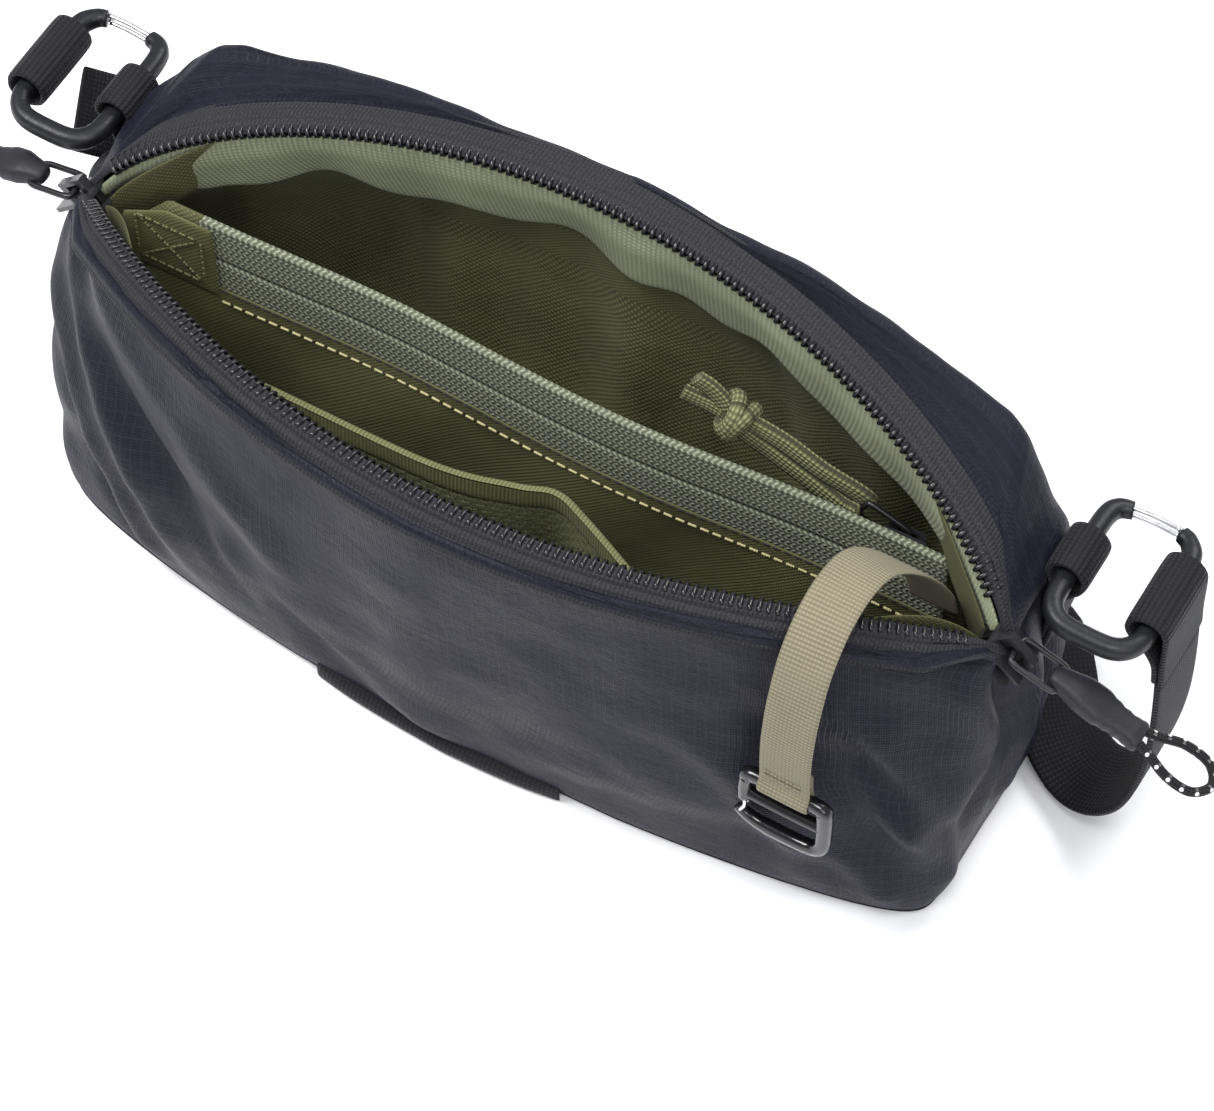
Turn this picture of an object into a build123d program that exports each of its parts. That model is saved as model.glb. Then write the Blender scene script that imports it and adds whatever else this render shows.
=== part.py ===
"""Crossbody organizer pouch: a soft zipped bag, held open, with its fittings and shoulder strap.

X runs along the pouch (right end +X), -Y is the front, +Z is up, and the origin is the middle
of the flat base. Millimetres.
"""
import os
from math import cos, radians, sin, tan

from build123d import *

os.makedirs("parts", exist_ok=True)

# ---------------------------------------------------------------- driving dimensions
SHELL = 1.6  # outer fabric with its foam
LINING = 0.8
LINING_GAP = 0.2
BASE_THICK = 2.2
MOUTH_HALF = 118.5  # half the distance between the mouth's corners
MOUTH_Y = -3.0  # the line through the corners
MOUTH_FRONT = -48.5  # furthest point of the front lip
MOUTH_BACK = 31.4  # furthest point of the back lip
CROWN_Z = 77.0  # springing height of the arched top
CROWN_RISE = 41.0
CROWN_HALF = 119.8
CROWN_TILT = 5.5  # the back lip stands higher than the front lip
NOTCH_Z = 80.0  # bottom of the notch that each end has for the zip
END_SEAM = 104.0  # seam between a long panel and an end panel
TAPE = 1.6
TAPE_TALL = 9.0
TEETH = 2.2
WEBBING = 20.0  # shoulder strap width
TAB_WIDE = 12.5
TAB_Y = 21.0
TAB_BAR_Z = 93.0
TAB_BAR_X = 122.5
RIBBON_WIDE = 12.5
RIBBON_X = 89.0
DIVIDER_Y = 4.0
DIVIDER_TURN = 3.3  # degrees, seen from above
ZIP_SLOPE = 3.0  # degrees, the divider's zip falls to the right
SLIDER_DROP = 45.0  # degrees, the chain's fall at the mouth's corner


def save(piece, label):
    """Label a finished sub-part and write its STEP file."""
    piece.label = label
    export_step(piece, f"parts/{label}.step")


# ---------------------------------------------------------------- outlines of the bag
def level(z, half, front_end, front_mid, back_end, back_mid, corner, inset):
    """One horizontal outline of the bag: bowed front and back, straight ends, round corners."""
    with BuildSketch(Plane.XY.offset(z)) as outline:
        with BuildLine():
            ThreePointArc((-half, -front_end), (0, -front_mid), (half, -front_end))
            Line((half, -front_end), (half, back_end))
            ThreePointArc((half, back_end), (0, back_mid), (-half, back_end))
            Line((-half, back_end), (-half, -front_end))
        make_face()
        fillet(outline.vertices(), corner)
        if inset:
            offset(amount=-inset, kind=Kind.INTERSECTION)
    return outline.sketch


def bag(inset, floor):
    """The bag's filled outer form, smaller all round by inset, standing on floor."""
    with BuildPart() as form:
        add(level(floor, 110, 28, 43, 28, 37, 10, inset))
        add(level(42, 116, 32, 51, 32, 43, 14, inset))
        add(level(86, 118.8, 31, 53, 33, 43, 16, inset))
        add(level(130, 119.5, 27, 54, 33, 38, 18, inset))
        loft()
    return form.part


def arch(grow):
    """All the space under the arched top, which is moved outwards by grow."""
    tilt = radians(CROWN_TILT)
    face = Plane(origin=(0, MOUTH_Y, CROWN_Z), x_dir=(1, 0, 0), z_dir=(0, -cos(tilt), -sin(tilt)))
    half = CROWN_HALF + grow
    rise = CROWN_RISE + grow
    with BuildPart() as space:
        with BuildSketch(face):
            with BuildLine():
                EllipticalCenterArc((0, 0), half, rise, start_angle=0, arc_size=180)
                Polyline((-half, 0), (-half, -100), (half, -100), (half, 0))
            make_face()
        extrude(amount=90, both=True)
    return space.part


def mouth(grow, low=NOTCH_Z):
    """The lens-shaped mouth as a prism, its outline moved outwards by grow."""
    with BuildPart() as lens:
        with BuildSketch(Plane.XY.offset(low)):
            with BuildLine():
                ThreePointArc((-MOUTH_HALF, MOUTH_Y), (0, MOUTH_FRONT), (MOUTH_HALF, MOUTH_Y))
                ThreePointArc((MOUTH_HALF, MOUTH_Y), (0, MOUTH_BACK), (-MOUTH_HALF, MOUTH_Y))
            make_face()
            if grow:
                offset(amount=grow, kind=Kind.INTERSECTION)
        extrude(amount=70)
    return lens.part


def block(low, high):
    """A plain box between two corners, used to cut panels apart at their seams."""
    size = [b - a for a, b in zip(low, high)]
    middle = [(a + b) / 2 for a, b in zip(low, high)]
    return Pos(*middle) * Box(*size)


FRONT_SIDE = block((-END_SEAM, -90, BASE_THICK), (END_SEAM, MOUTH_Y, 140))
BACK_SIDE = block((-END_SEAM, MOUTH_Y, BASE_THICK), (END_SEAM, 90, 140))
LEFT_SIDE = block((-150, -90, BASE_THICK), (-END_SEAM, 90, 140))
RIGHT_SIDE = block((END_SEAM, -90, BASE_THICK), (150, 90, 140))
UNDERSIDE = block((-150, -90, -1), (150, 90, BASE_THICK))

# ---------------------------------------------------------------- outer shell
outer = bag(0, 0)
filled = outer & arch(0)
hollow = bag(SHELL, BASE_THICK) & arch(-SHELL)
slider_notch = block((-125, -8.6, 75), (125, 2.6, 140)) - block((-108, -10, 0), (108, 10, 150))
shell = filled - hollow - mouth(TAPE) - slider_notch

for label, side in (
    ("front_panel", FRONT_SIDE),
    ("back_panel", BACK_SIDE),
    ("left_end_panel", LEFT_SIDE),
    ("right_end_panel", RIGHT_SIDE),
):
    with BuildPart() as panel:
        add(shell)
        add(side, mode=Mode.INTERSECT)
    save(panel.part, label)

with BuildPart() as base_panel:
    add(filled)
    add(UNDERSIDE, mode=Mode.INTERSECT)
save(base_panel.part, "base_panel")

# ---------------------------------------------------------------- lining, two halves
lining_out = SHELL + LINING_GAP
lining_in = lining_out + LINING
lining_bag = bag(lining_out, BASE_THICK + LINING_GAP) & arch(-lining_out - 1)
lining_void = bag(lining_in, BASE_THICK + LINING_GAP + LINING) & arch(-lining_in - 1)
lining_shell = lining_bag - lining_void - mouth(TAPE + 0.4, NOTCH_Z - 4) - slider_notch

MIDDLE_PLANE = Plane.XZ.offset(-MOUTH_Y)
for label, half in (("front_lining", Keep.TOP), ("back_lining", Keep.BOTTOM)):
    with BuildPart() as lining:
        add(lining_shell)
        split(bisect_by=MIDDLE_PLANE, keep=half)
    save(lining.part, label)


# ---------------------------------------------------------------- top zip, facing bands
def lip(wide_from, wide_to, top, bottom, half_length, front):
    """A band along one lip: between two outlines of the mouth and two arched levels."""
    y_range = (-90, MOUTH_Y - 0.05) if front else (MOUTH_Y + 0.05, 90)
    with BuildPart() as band:
        add(mouth(wide_to, 60))
        add(mouth(wide_from, 60), mode=Mode.SUBTRACT)
        add(arch(top), mode=Mode.INTERSECT)
        add(arch(bottom), mode=Mode.SUBTRACT)
        add(block((-half_length, y_range[0], 60), (half_length, y_range[1], 140)),
            mode=Mode.INTERSECT)
    return band.part


for side in ("front", "back"):
    is_front = side == "front"
    save(lip(0, TAPE, 0.6, -TAPE_TALL, 106.0, is_front), f"zip_tape_{side}")
    save(lip(-TEETH, 0, 0.9, -TEETH, 104.0, is_front), f"zip_teeth_{side}")
    save(lip(-1.0, 0, -TEETH - 0.2, -16.0, 98.0, is_front), f"facing_band_{side}")

# ---------------------------------------------------------------- binding under the front edge
with BuildPart() as base_binding:
    add(bag(-1.0, 0))
    add(bag(0.1, 0), mode=Mode.SUBTRACT)
    add(block((-70, -90, 0), (70, MOUTH_Y, 9)), mode=Mode.INTERSECT)
    add(outer, mode=Mode.SUBTRACT)
save(base_binding.part, "base_binding")

# ---------------------------------------------------------------- divider with its zip pocket
turn = radians(DIVIDER_TURN)
DIVIDER = Plane(
    origin=(0, DIVIDER_Y, 0), x_dir=(cos(turn), sin(turn), 0), z_dir=(sin(turn), -cos(turn), 0)
)
ZIP_LEFT = -88.0
ZIP_RIGHT = 98.0
ZIP_TOP = 97.0  # the zip's upper edge at its left end
ZIP_WIDE = 25.0
SLOPE = tan(radians(ZIP_SLOPE))


def zip_edge(x, below):
    """Height of a line along the divider's zip, that far below its upper edge."""
    return ZIP_TOP - below - (x - ZIP_LEFT) * SLOPE


def divider_sheet(points, front, thick):
    """A flat piece of the divider from its outline, its front face that far forward."""
    with BuildPart() as sheet:
        with BuildSketch(DIVIDER.offset(front - thick)):
            with BuildLine():
                Polyline(*points, close=True)
            make_face()
        extrude(amount=thick)
    return sheet.part


def zip_strip(above, below):
    """Outline of a strip along the zip, between two lines under its upper edge."""
    return [
        (ZIP_LEFT, zip_edge(ZIP_LEFT, above)),
        (ZIP_RIGHT, zip_edge(ZIP_RIGHT, above)),
        (ZIP_RIGHT, zip_edge(ZIP_RIGHT, below)),
        (ZIP_LEFT, zip_edge(ZIP_LEFT, below)),
    ]


back_layer = [
    (-104, 6), (104, 6), (110, 42), (110, 78), (ZIP_RIGHT, zip_edge(ZIP_RIGHT, 0)),
    (ZIP_LEFT, ZIP_TOP), (-110, 84), (-110, 42),
]
front_layer = [
    (-104, 6), (104, 6), (109, 40), (ZIP_RIGHT + 6, zip_edge(ZIP_RIGHT + 6, ZIP_WIDE)),
    (-108, zip_edge(-108, ZIP_WIDE)), (-109, 40),
]
zip_tab = [
    (-108, 83), (ZIP_LEFT - 0.4, ZIP_TOP - 1), (ZIP_LEFT - 0.4, ZIP_TOP - ZIP_WIDE + 1),
    (-108, ZIP_TOP - ZIP_WIDE + 2),
]
save(divider_sheet(back_layer, -0.2, 1.0), "divider_back_layer")
save(divider_sheet(front_layer, 1.0, 1.0), "divider_front_layer")
save(divider_sheet(zip_strip(0.4, ZIP_WIDE / 2 - 0.1), 1.0, 1.0), "divider_zip_tape_upper")
save(divider_sheet(zip_strip(ZIP_WIDE / 2 + 0.1, ZIP_WIDE - 0.4), 1.0, 1.0),
     "divider_zip_tape_lower")
save(divider_sheet(zip_tab, 1.6, 1.6), "divider_zip_tab")

# ---------------------------------------------------------------- mesh pocket on the front wall
POCKET = [(-88, -38), (-66, -26), (-20, -24.5), (26, -25), (46, -31), (62, -42)]
POCKET_LOW = 20.0
POCKET_TOP = 76.0
for label, low, high, thick in (
    ("mesh_pocket", POCKET_LOW, POCKET_TOP, 1.0),
    ("pocket_binding", POCKET_TOP, POCKET_TOP + 7, 1.8),
):
    with BuildPart() as pocket:
        with BuildSketch(Plane.XY.offset(low)):
            with BuildLine():
                wall = FilletPolyline(*POCKET, radius=8)
            trace(wall, line_width=thick)
        extrude(amount=high - low)
        add(bag(lining_in + 0.1, 4), mode=Mode.INTERSECT)
    save(pocket.part, label)

# ---------------------------------------------------------------- key ribbon over the front lip
HOOK_Y = -45.6
HOOK_Z = 62.0
RIBBON = [(-2.6, 84), (-9, 104), (-24, 111.5), (-43, 105.5), (HOOK_Y, 78), (HOOK_Y, HOOK_Z + 2.3)]
with BuildPart() as key_ribbon:
    with BuildSketch(Plane.YZ.offset(RIBBON_X)):
        with BuildLine():
            lay = FilletPolyline(*RIBBON, radius=[8, 9, 7, 12])
        trace(lay, line_width=1.0)
        with Locations((HOOK_Y, HOOK_Z)):
            Circle(2.8)
            Circle(1.8, mode=Mode.SUBTRACT)
    extrude(amount=RIBBON_WIDE / 2, both=True)
save(key_ribbon.part, "key_ribbon")

# key hook: a bar in the ribbon's loop, a D-shaped frame below it, and a sprung wire gate
HOOK = Plane(origin=(RIBBON_X, HOOK_Y, HOOK_Z), x_dir=(1, 0, 0), z_dir=(0, -1, 0))
with BuildPart() as key_hook:
    with BuildSketch(HOOK.offset(-1.7)):
        with Locations((0, -9)):
            RectangleRounded(23, 22, 5)
        with Locations((0, -1.2)):
            RectangleRounded(14.5, 10.5, 1, mode=Mode.SUBTRACT)
        with Locations((0, -13.2)):
            RectangleRounded(15.5, 7.4, 2.5, mode=Mode.SUBTRACT)
        with Locations((-10, -12.6)):
            Rectangle(6, 4.4, mode=Mode.SUBTRACT)
    extrude(amount=3.4)
    fillet(key_hook.edges().filter_by(Plane.XZ), 0.5)
    with BuildSketch(Plane.YZ.offset(RIBBON_X - 8)):
        with Locations((HOOK_Y, HOOK_Z)):
            Circle(1.4)
    extrude(amount=16)
save(key_hook.part, "key_hook")

with BuildPart() as key_hook_gate:
    with BuildSketch(HOOK.offset(-0.6)):
        with Locations((-9.6, -12.6)):
            RectangleRounded(1.4, 3.9, 0.6)
    extrude(amount=1.2)
save(key_hook_gate.part, "key_hook_gate")


# ---------------------------------------------------------------- end fittings, one set a side
RING_LONG = 38.0
RING_WIDE = 26.0
BAR = 4.6
SPINE = RING_WIDE - BAR  # from the carabiner's inner bar to its outer one
MIDDLE = SPINE / 2
GATE_GAP = 13.0
GATE_Y = RING_LONG / 2 - 2.4


def tab(side):
    """A folded webbing tab: sewn to the end wall, its loop round the carabiner's inner bar."""
    with BuildPart() as webbing:
        with BuildSketch(Plane.XZ.offset(-TAB_Y)):
            with BuildLine():
                lay = Polyline(
                    (side * 119.0, 58), (side * 120.4, 74), (side * 121.4, TAB_BAR_Z - 4.2)
                )
            trace(lay, line_width=2.0)
            with Locations((side * TAB_BAR_X, TAB_BAR_Z)):
                Circle(5.0)
                Circle(3.6, mode=Mode.SUBTRACT)
        extrude(amount=TAB_WIDE / 2, both=True)
    return webbing.part


def carabiner_plane(side):
    """Local x points away from the bag, local y to the gate end, origin in the tab's loop."""
    return Plane(origin=(side * TAB_BAR_X, TAB_Y, TAB_BAR_Z), x_dir=(side, 0, 0), z_dir=(0, 0, 1))


def carabiner(side):
    """A flat ring of thick plastic bar with one end left open for the gate."""
    plane = carabiner_plane(side)
    with BuildPart() as ring:
        with BuildSketch(plane.offset(-BAR / 2)):
            with Locations((MIDDLE, 0)):
                RectangleRounded(RING_WIDE, RING_LONG, 9)
                RectangleRounded(RING_WIDE - 2 * BAR, RING_LONG - 2 * BAR, 5, mode=Mode.SUBTRACT)
            with Locations((MIDDLE, RING_LONG / 2 - 2)):
                Rectangle(GATE_GAP, 8, mode=Mode.SUBTRACT)
        extrude(amount=BAR)
        fillet(ring.edges().filter_by(GeomType.LINE).filter_by(Axis.Y), 1.4)
    return ring.part


def gate(side):
    """A bent wire that closes the ring's open end: two rails joined at the nose."""
    plane = carabiner_plane(side)
    with BuildPart() as wire:
        with BuildSketch(plane.offset(-1.8)):
            with Locations((MIDDLE, GATE_Y)):
                RectangleRounded(GATE_GAP - 0.8, 1.4, 0.5)
        extrude(amount=3.6)
        with BuildSketch(plane.offset(-0.6)):
            with Locations((MIDDLE, GATE_Y)):
                Rectangle(GATE_GAP - 4, 4)
        extrude(amount=1.2, mode=Mode.SUBTRACT)
    return wire.part


SLIDER_X = 118.0
SLIDER_Z = 85.0
PLATE = 1.2
BRIDGE_TOP = 6.4
BAIL_UP = 3.95  # the bail's bar above the slider's middle
BAIL_LONG = 13.0
BAIL_BAR = 1.5
GRIP_LONG = 22.0


def slider_plane(side):
    """Local x runs down the chain, away from the bag, and local z stands on the slider."""
    drop = radians(SLIDER_DROP)
    return Plane(
        origin=(side * SLIDER_X, MOUTH_Y, SLIDER_Z),
        x_dir=(side * cos(drop), 0, -sin(drop)),
        z_dir=(side * sin(drop), 0, cos(drop)),
    )


def slider(plane, long, wide):
    """A zip slider: two plates joined by a post, with a bridge on top for its pull."""
    nose = long / 2
    with BuildPart() as body:
        for low in (-2.6, 2.6 - PLATE):
            with BuildSketch(plane.offset(low)):
                with BuildLine():
                    Polyline(
                        (nose, -wide / 2), (-nose / 3, -wide / 2), (-nose, -wide / 3),
                        (-nose, wide / 3), (-nose / 3, wide / 2), (nose, wide / 2), close=True,
                    )
                make_face()
            extrude(amount=PLATE)
        with BuildSketch(plane.offset(-2.0)):
            with Locations((-nose + 2, 0)):
                Rectangle(3, 2)
        extrude(amount=4)
        with BuildSketch(plane.offset(2.2)):
            Rectangle(9, 2.2)
        extrude(amount=BRIDGE_TOP - 2.2)
        with BuildSketch(plane.offset(2.7)):
            Rectangle(4.4, 4)
        extrude(amount=BRIDGE_TOP - 2.7 - PLATE, mode=Mode.SUBTRACT)
    return body.part


def pull_plane(side, droop):
    """Origin at the bail's bar, local x along the pull, falling by droop degrees."""
    base = slider_plane(side)
    origin = base.origin + base.z_dir * BAIL_UP
    fall = radians(droop)
    return Plane(
        origin=origin,
        x_dir=(side * cos(fall), 0, -sin(fall)),
        z_dir=(side * sin(fall), 0, cos(fall)),
    )


def bail(plane):
    """A narrow frame: its near bar turns in the slider's bridge, its far bar holds the grip."""
    with BuildPart() as frame:
        with BuildSketch(plane.offset(-BAIL_BAR / 2)):
            with Locations((BAIL_LONG / 2 - BAIL_BAR / 2, 0)):
                RectangleRounded(BAIL_LONG, 8.4, 1.6)
                RectangleRounded(BAIL_LONG - 2 * BAIL_BAR, 8.4 - 2 * BAIL_BAR, 0.7,
                                 mode=Mode.SUBTRACT)
        extrude(amount=BAIL_BAR)
    return frame.part


def grip(plane, long):
    """A moulded grip with a waist, its slotted nose round the bail's far bar."""
    start = BAIL_LONG - 1.9
    with BuildPart() as moulded:
        with BuildSketch(plane.offset(-2.6)):
            with BuildLine():
                Polyline((start - 2.6, -2.3), (start - 2.6, 2.3))
                Spline((start - 2.6, 2.3), (start + 6, 4.3), (start + long * 0.6, 3.2),
                       (start + long, 3.8))
                Polyline((start + long, 3.8), (start + long, -3.8))
                Spline((start + long, -3.8), (start + long * 0.6, -3.2), (start + 6, -4.3),
                       (start - 2.6, -2.3))
            make_face()
        extrude(amount=5.2)
        with BuildSketch(plane.offset(-1.2)):
            with Locations(((BAIL_LONG - BAIL_BAR) / 2, 0)):
                Rectangle(BAIL_LONG + 0.6, 9.0)
                Rectangle(BAIL_LONG - 2 * BAIL_BAR - 0.6, 4.8, mode=Mode.SUBTRACT)
        extrude(amount=2.4, mode=Mode.SUBTRACT)
    return moulded.part


def pull_loop(plane, long, reach, wide):
    """The cord loop that comes out of a grip's end."""
    start = BAIL_LONG - 1.9 + long + 0.1
    middle = start + reach / 2 - wide / 4
    with BuildPart() as cord:
        with BuildSketch(plane.offset(-1.1)):
            with Locations((middle, 0)):
                SlotOverall(reach + wide / 2, wide)
                SlotOverall(reach + wide / 2 - 4.4, wide - 4.4, mode=Mode.SUBTRACT)
            with Locations((start - wide, 0)):
                Rectangle(2 * wide, 2 * wide, mode=Mode.SUBTRACT)
        extrude(amount=2.2)
    return cord.part


STRAP = 1.8
STRAP_RING = 5.4
FOLD_LEFT = [(-137.4, 21, 79), (-130, 31, 67), (-121, 42, 55), (-111, 50, 42),
             (-103, 56, 31)]
FOLD_RIGHT = [(148.4, TAB_Y, 75.5), (150, 20, 57), (149, 19, 37), (145, 19, 18), (134, 21, 5.5),
              (121, 30, 4.5), (113, 44, 4.5), (106.5, 52.5, 5)]


def strap_end(side, foot):
    """The strap's sewn end: a loop round the carabiner's outer bar and a short doubled tail."""
    middle = side * (TAB_BAR_X + SPINE)
    with BuildPart() as webbing:
        with BuildSketch(Plane.XZ.offset(-TAB_Y)):
            with BuildLine():
                lay = Line((middle + foot[0], TAB_BAR_Z + foot[1]),
                           (middle + foot[2], TAB_BAR_Z + foot[3]))
            trace(lay, line_width=3.2)
            with Locations((middle, TAB_BAR_Z)):
                Circle(STRAP_RING)
                Circle(3.7, mode=Mode.SUBTRACT)
        extrude(amount=WEBBING / 2, both=True)
    return webbing.part


def strap_run(route, across):
    """A flat stretch of webbing along straight runs joined by arcs as large as they allow."""
    radii = []
    for before, point, after in zip(route, route[1:], route[2:]):
        here, start, end = Vector(*point), Vector(*before), Vector(*after)
        turn_half = radians((here - start).get_angle(end - here)) / 2
        shorter = min((here - start).length, (end - here).length)
        radii.append(0.45 * shorter / tan(turn_half))
    print("strap bend radii, mm:", [round(r, 1) for r in radii])
    with BuildPart() as run:
        with BuildLine() as path:
            FilletPolyline(*route, radius=radii)
        first = Plane(
            origin=route[0], x_dir=across, z_dir=Vector(*route[1]) - Vector(*route[0])
        )
        with BuildSketch(first):
            Rectangle(WEBBING, STRAP)
        sweep(path=path.wire())
    print("strap run", round(path.wire().length, 1), "mm, section x length",
          round(path.wire().length * WEBBING * STRAP), "volume", round(run.part.volume))
    return run.part


for name, side, droop, long, reach, wide in (
    ("left", -1, 12, 17.0, 7.0, 6.0),
    ("right", 1, 18, GRIP_LONG, 19.0, 12.0),
):
    save(tab(side), f"{name}_webbing_tab")
    save(carabiner(side), f"{name}_carabiner")
    save(gate(side), f"{name}_carabiner_gate")
    save(slider(slider_plane(side), 12.0, 9.4), f"{name}_zip_slider")
    pull = pull_plane(side, droop)
    print(name, "pull pivot", tuple(round(v, 2) for v in pull.origin))
    save(bail(pull), f"{name}_pull_bail")
    save(grip(pull, long), f"{name}_pull_grip")
    save(pull_loop(pull, long, reach, wide), f"{name}_pull_loop")

save(strap_end(-1, (1.5, -4.4, 3.4, -8.6)), "left_strap_end")
save(strap_end(1, (4.0, -4.0, 4.4, -16.0)), "right_strap_end")
save(strap_run(FOLD_LEFT, (0, 1, 0)), "strap_left_run")
save(strap_run(FOLD_RIGHT, (0, 1, 0)), "strap_right_run")

# the rest of the strap, folded to and fro behind the pouch and held by a band
HANK_LONG = 200.0
HANK_Y = 56.0
HANK_TOP = 35.0
with BuildPart() as strap_hank:
    with BuildSketch(Plane.YZ.offset(-HANK_LONG / 2)):
        with Locations((HANK_Y, (HANK_TOP + 1.5) / 2)):
            RectangleRounded(WEBBING, HANK_TOP - 1.5, 1.5)
    extrude(amount=HANK_LONG)
save(strap_hank.part, "strap_hank")

with BuildPart() as strap_tie:
    with BuildSketch(Plane.YZ.offset(-8)):
        with Locations((HANK_Y, (HANK_TOP + 1.5) / 2)):
            RectangleRounded(WEBBING + 3, HANK_TOP + 1.5, 2.5)
            RectangleRounded(WEBBING + 0.2, HANK_TOP - 1.3, 1.6, mode=Mode.SUBTRACT)
    extrude(amount=16)
save(strap_tie.part, "strap_tie")

# ---------------------------------------------------------------- the divider's slider and pull
DIVIDER_SLIDER_X = 84.0
slope = radians(ZIP_SLOPE)
along = Vector(cos(turn) * cos(slope), sin(turn) * cos(slope), -sin(slope))
forward = Vector(sin(turn), -cos(turn), 0)
middle_line = DIVIDER.from_local_coords(
    Vector(DIVIDER_SLIDER_X, zip_edge(DIVIDER_SLIDER_X, ZIP_WIDE / 2), 0)
)
inner_slider_plane = Plane(
    origin=middle_line - forward * (1.5 + 2.6), x_dir=along, z_dir=-forward
)
save(slider(inner_slider_plane, 11.0, 8.0), "divider_zip_slider")

PULL_RISE = 24.0  # degrees, the braided pull climbs behind the divider's upper edge
pull_origin = inner_slider_plane.origin - forward * BAIL_UP
rise = radians(PULL_RISE)
pull_along = Vector(-cos(turn) * cos(rise), -sin(turn) * cos(rise), sin(rise))
inner_pull_plane = Plane(origin=pull_origin, x_dir=pull_along, z_dir=-forward)
print("divider slider", tuple(round(v, 2) for v in inner_slider_plane.origin), "along",
      tuple(round(v, 4) for v in along))
print("divider pull pivot", tuple(round(v, 2) for v in pull_origin), "axis",
      tuple(round(v, 4) for v in inner_pull_plane.y_dir))
save(bail(inner_pull_plane), "divider_pull_bail")
with BuildPart() as divider_pull_cord:
    with BuildSketch(inner_pull_plane.offset(-1.9)):
        with BuildLine():
            lay = Line((BAIL_LONG - 0.6, 0), (BAIL_LONG + 46, 0))
        trace(lay, line_width=8.0)
    extrude(amount=3.8)
    with BuildSketch(inner_pull_plane.offset(-1.2)):
        with Locations((BAIL_LONG - 2, 0)):
            Rectangle(4.4, 12)
    extrude(amount=2.4, mode=Mode.SUBTRACT)
save(divider_pull_cord.part, "divider_pull_cord")
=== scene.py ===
"""Looks of the crossbody organizer pouch, built round its CAD frame.
"""
import math

import bpy
import numpy as np
from mathutils import Matrix, Vector


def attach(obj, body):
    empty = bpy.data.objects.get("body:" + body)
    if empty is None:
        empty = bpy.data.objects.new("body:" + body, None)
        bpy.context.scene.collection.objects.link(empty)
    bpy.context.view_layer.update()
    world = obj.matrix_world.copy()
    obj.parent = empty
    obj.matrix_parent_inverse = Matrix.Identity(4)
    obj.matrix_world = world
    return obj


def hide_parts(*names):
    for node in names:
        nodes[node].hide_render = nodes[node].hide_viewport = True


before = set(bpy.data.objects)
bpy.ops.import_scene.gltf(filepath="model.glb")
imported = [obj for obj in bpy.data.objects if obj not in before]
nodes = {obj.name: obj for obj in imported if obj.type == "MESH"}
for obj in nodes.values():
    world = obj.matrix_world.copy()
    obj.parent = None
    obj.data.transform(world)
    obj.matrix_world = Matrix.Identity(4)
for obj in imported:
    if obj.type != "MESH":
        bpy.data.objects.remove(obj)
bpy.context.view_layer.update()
ROOT = "pouch"
scene = bpy.context.scene


# ------------------------------------------------------------------ camera and light
AZ, EL = math.radians(30.5), math.radians(58.0)
AIM_RIGHT, AIM_UP, DISTANCE = 0.0149, 0.0125, 1.126
right = Vector((math.cos(AZ), math.sin(AZ), 0))
toward = Vector((math.sin(AZ) * math.cos(EL), -math.cos(AZ) * math.cos(EL), math.sin(EL)))
up = toward.cross(right)
lens = bpy.data.cameras.new("camera")
lens.lens = 141.15
lens.sensor_width = 36
lens.clip_start, lens.clip_end = 0.05, 20
camera = bpy.data.objects.new("camera", lens)
scene.collection.objects.link(camera)
camera.matrix_world = Matrix.Translation(right * AIM_RIGHT + up * AIM_UP + toward * DISTANCE) @ Matrix(
    (right, up, toward)).transposed().to_4x4()
scene.camera = camera


def lamp(name, place, size, power, aim=(0, 0, 0.05)):
    """A soft square lamp that faces aim."""
    data = bpy.data.lights.new(name, "AREA")
    data.energy, data.size = power, size
    o = bpy.data.objects.new(name, data)
    scene.collection.objects.link(o)
    o.location = place
    o.rotation_euler = (Vector(aim) - Vector(place)).to_track_quat("-Z", "Y").to_euler()


lamp("key", (-0.7, -0.3, 1.3), 0.55, 21)
lamp("fill", (0.95, -0.75, 1.0), 0.8, 8)
lamp("back", (0.3, 0.9, 1.2), 0.6, 12)
lamp("top", (0.25, -0.35, 1.35), 0.4, 8)
world = bpy.data.worlds.new("studio")
world.use_nodes = True
world.node_tree.nodes["Background"].inputs["Color"].default_value = (0.93, 0.95, 1, 1)
world.node_tree.nodes["Background"].inputs["Strength"].default_value = 0.55
scene.world = world
scene.view_settings.view_transform = "Standard"


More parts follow.
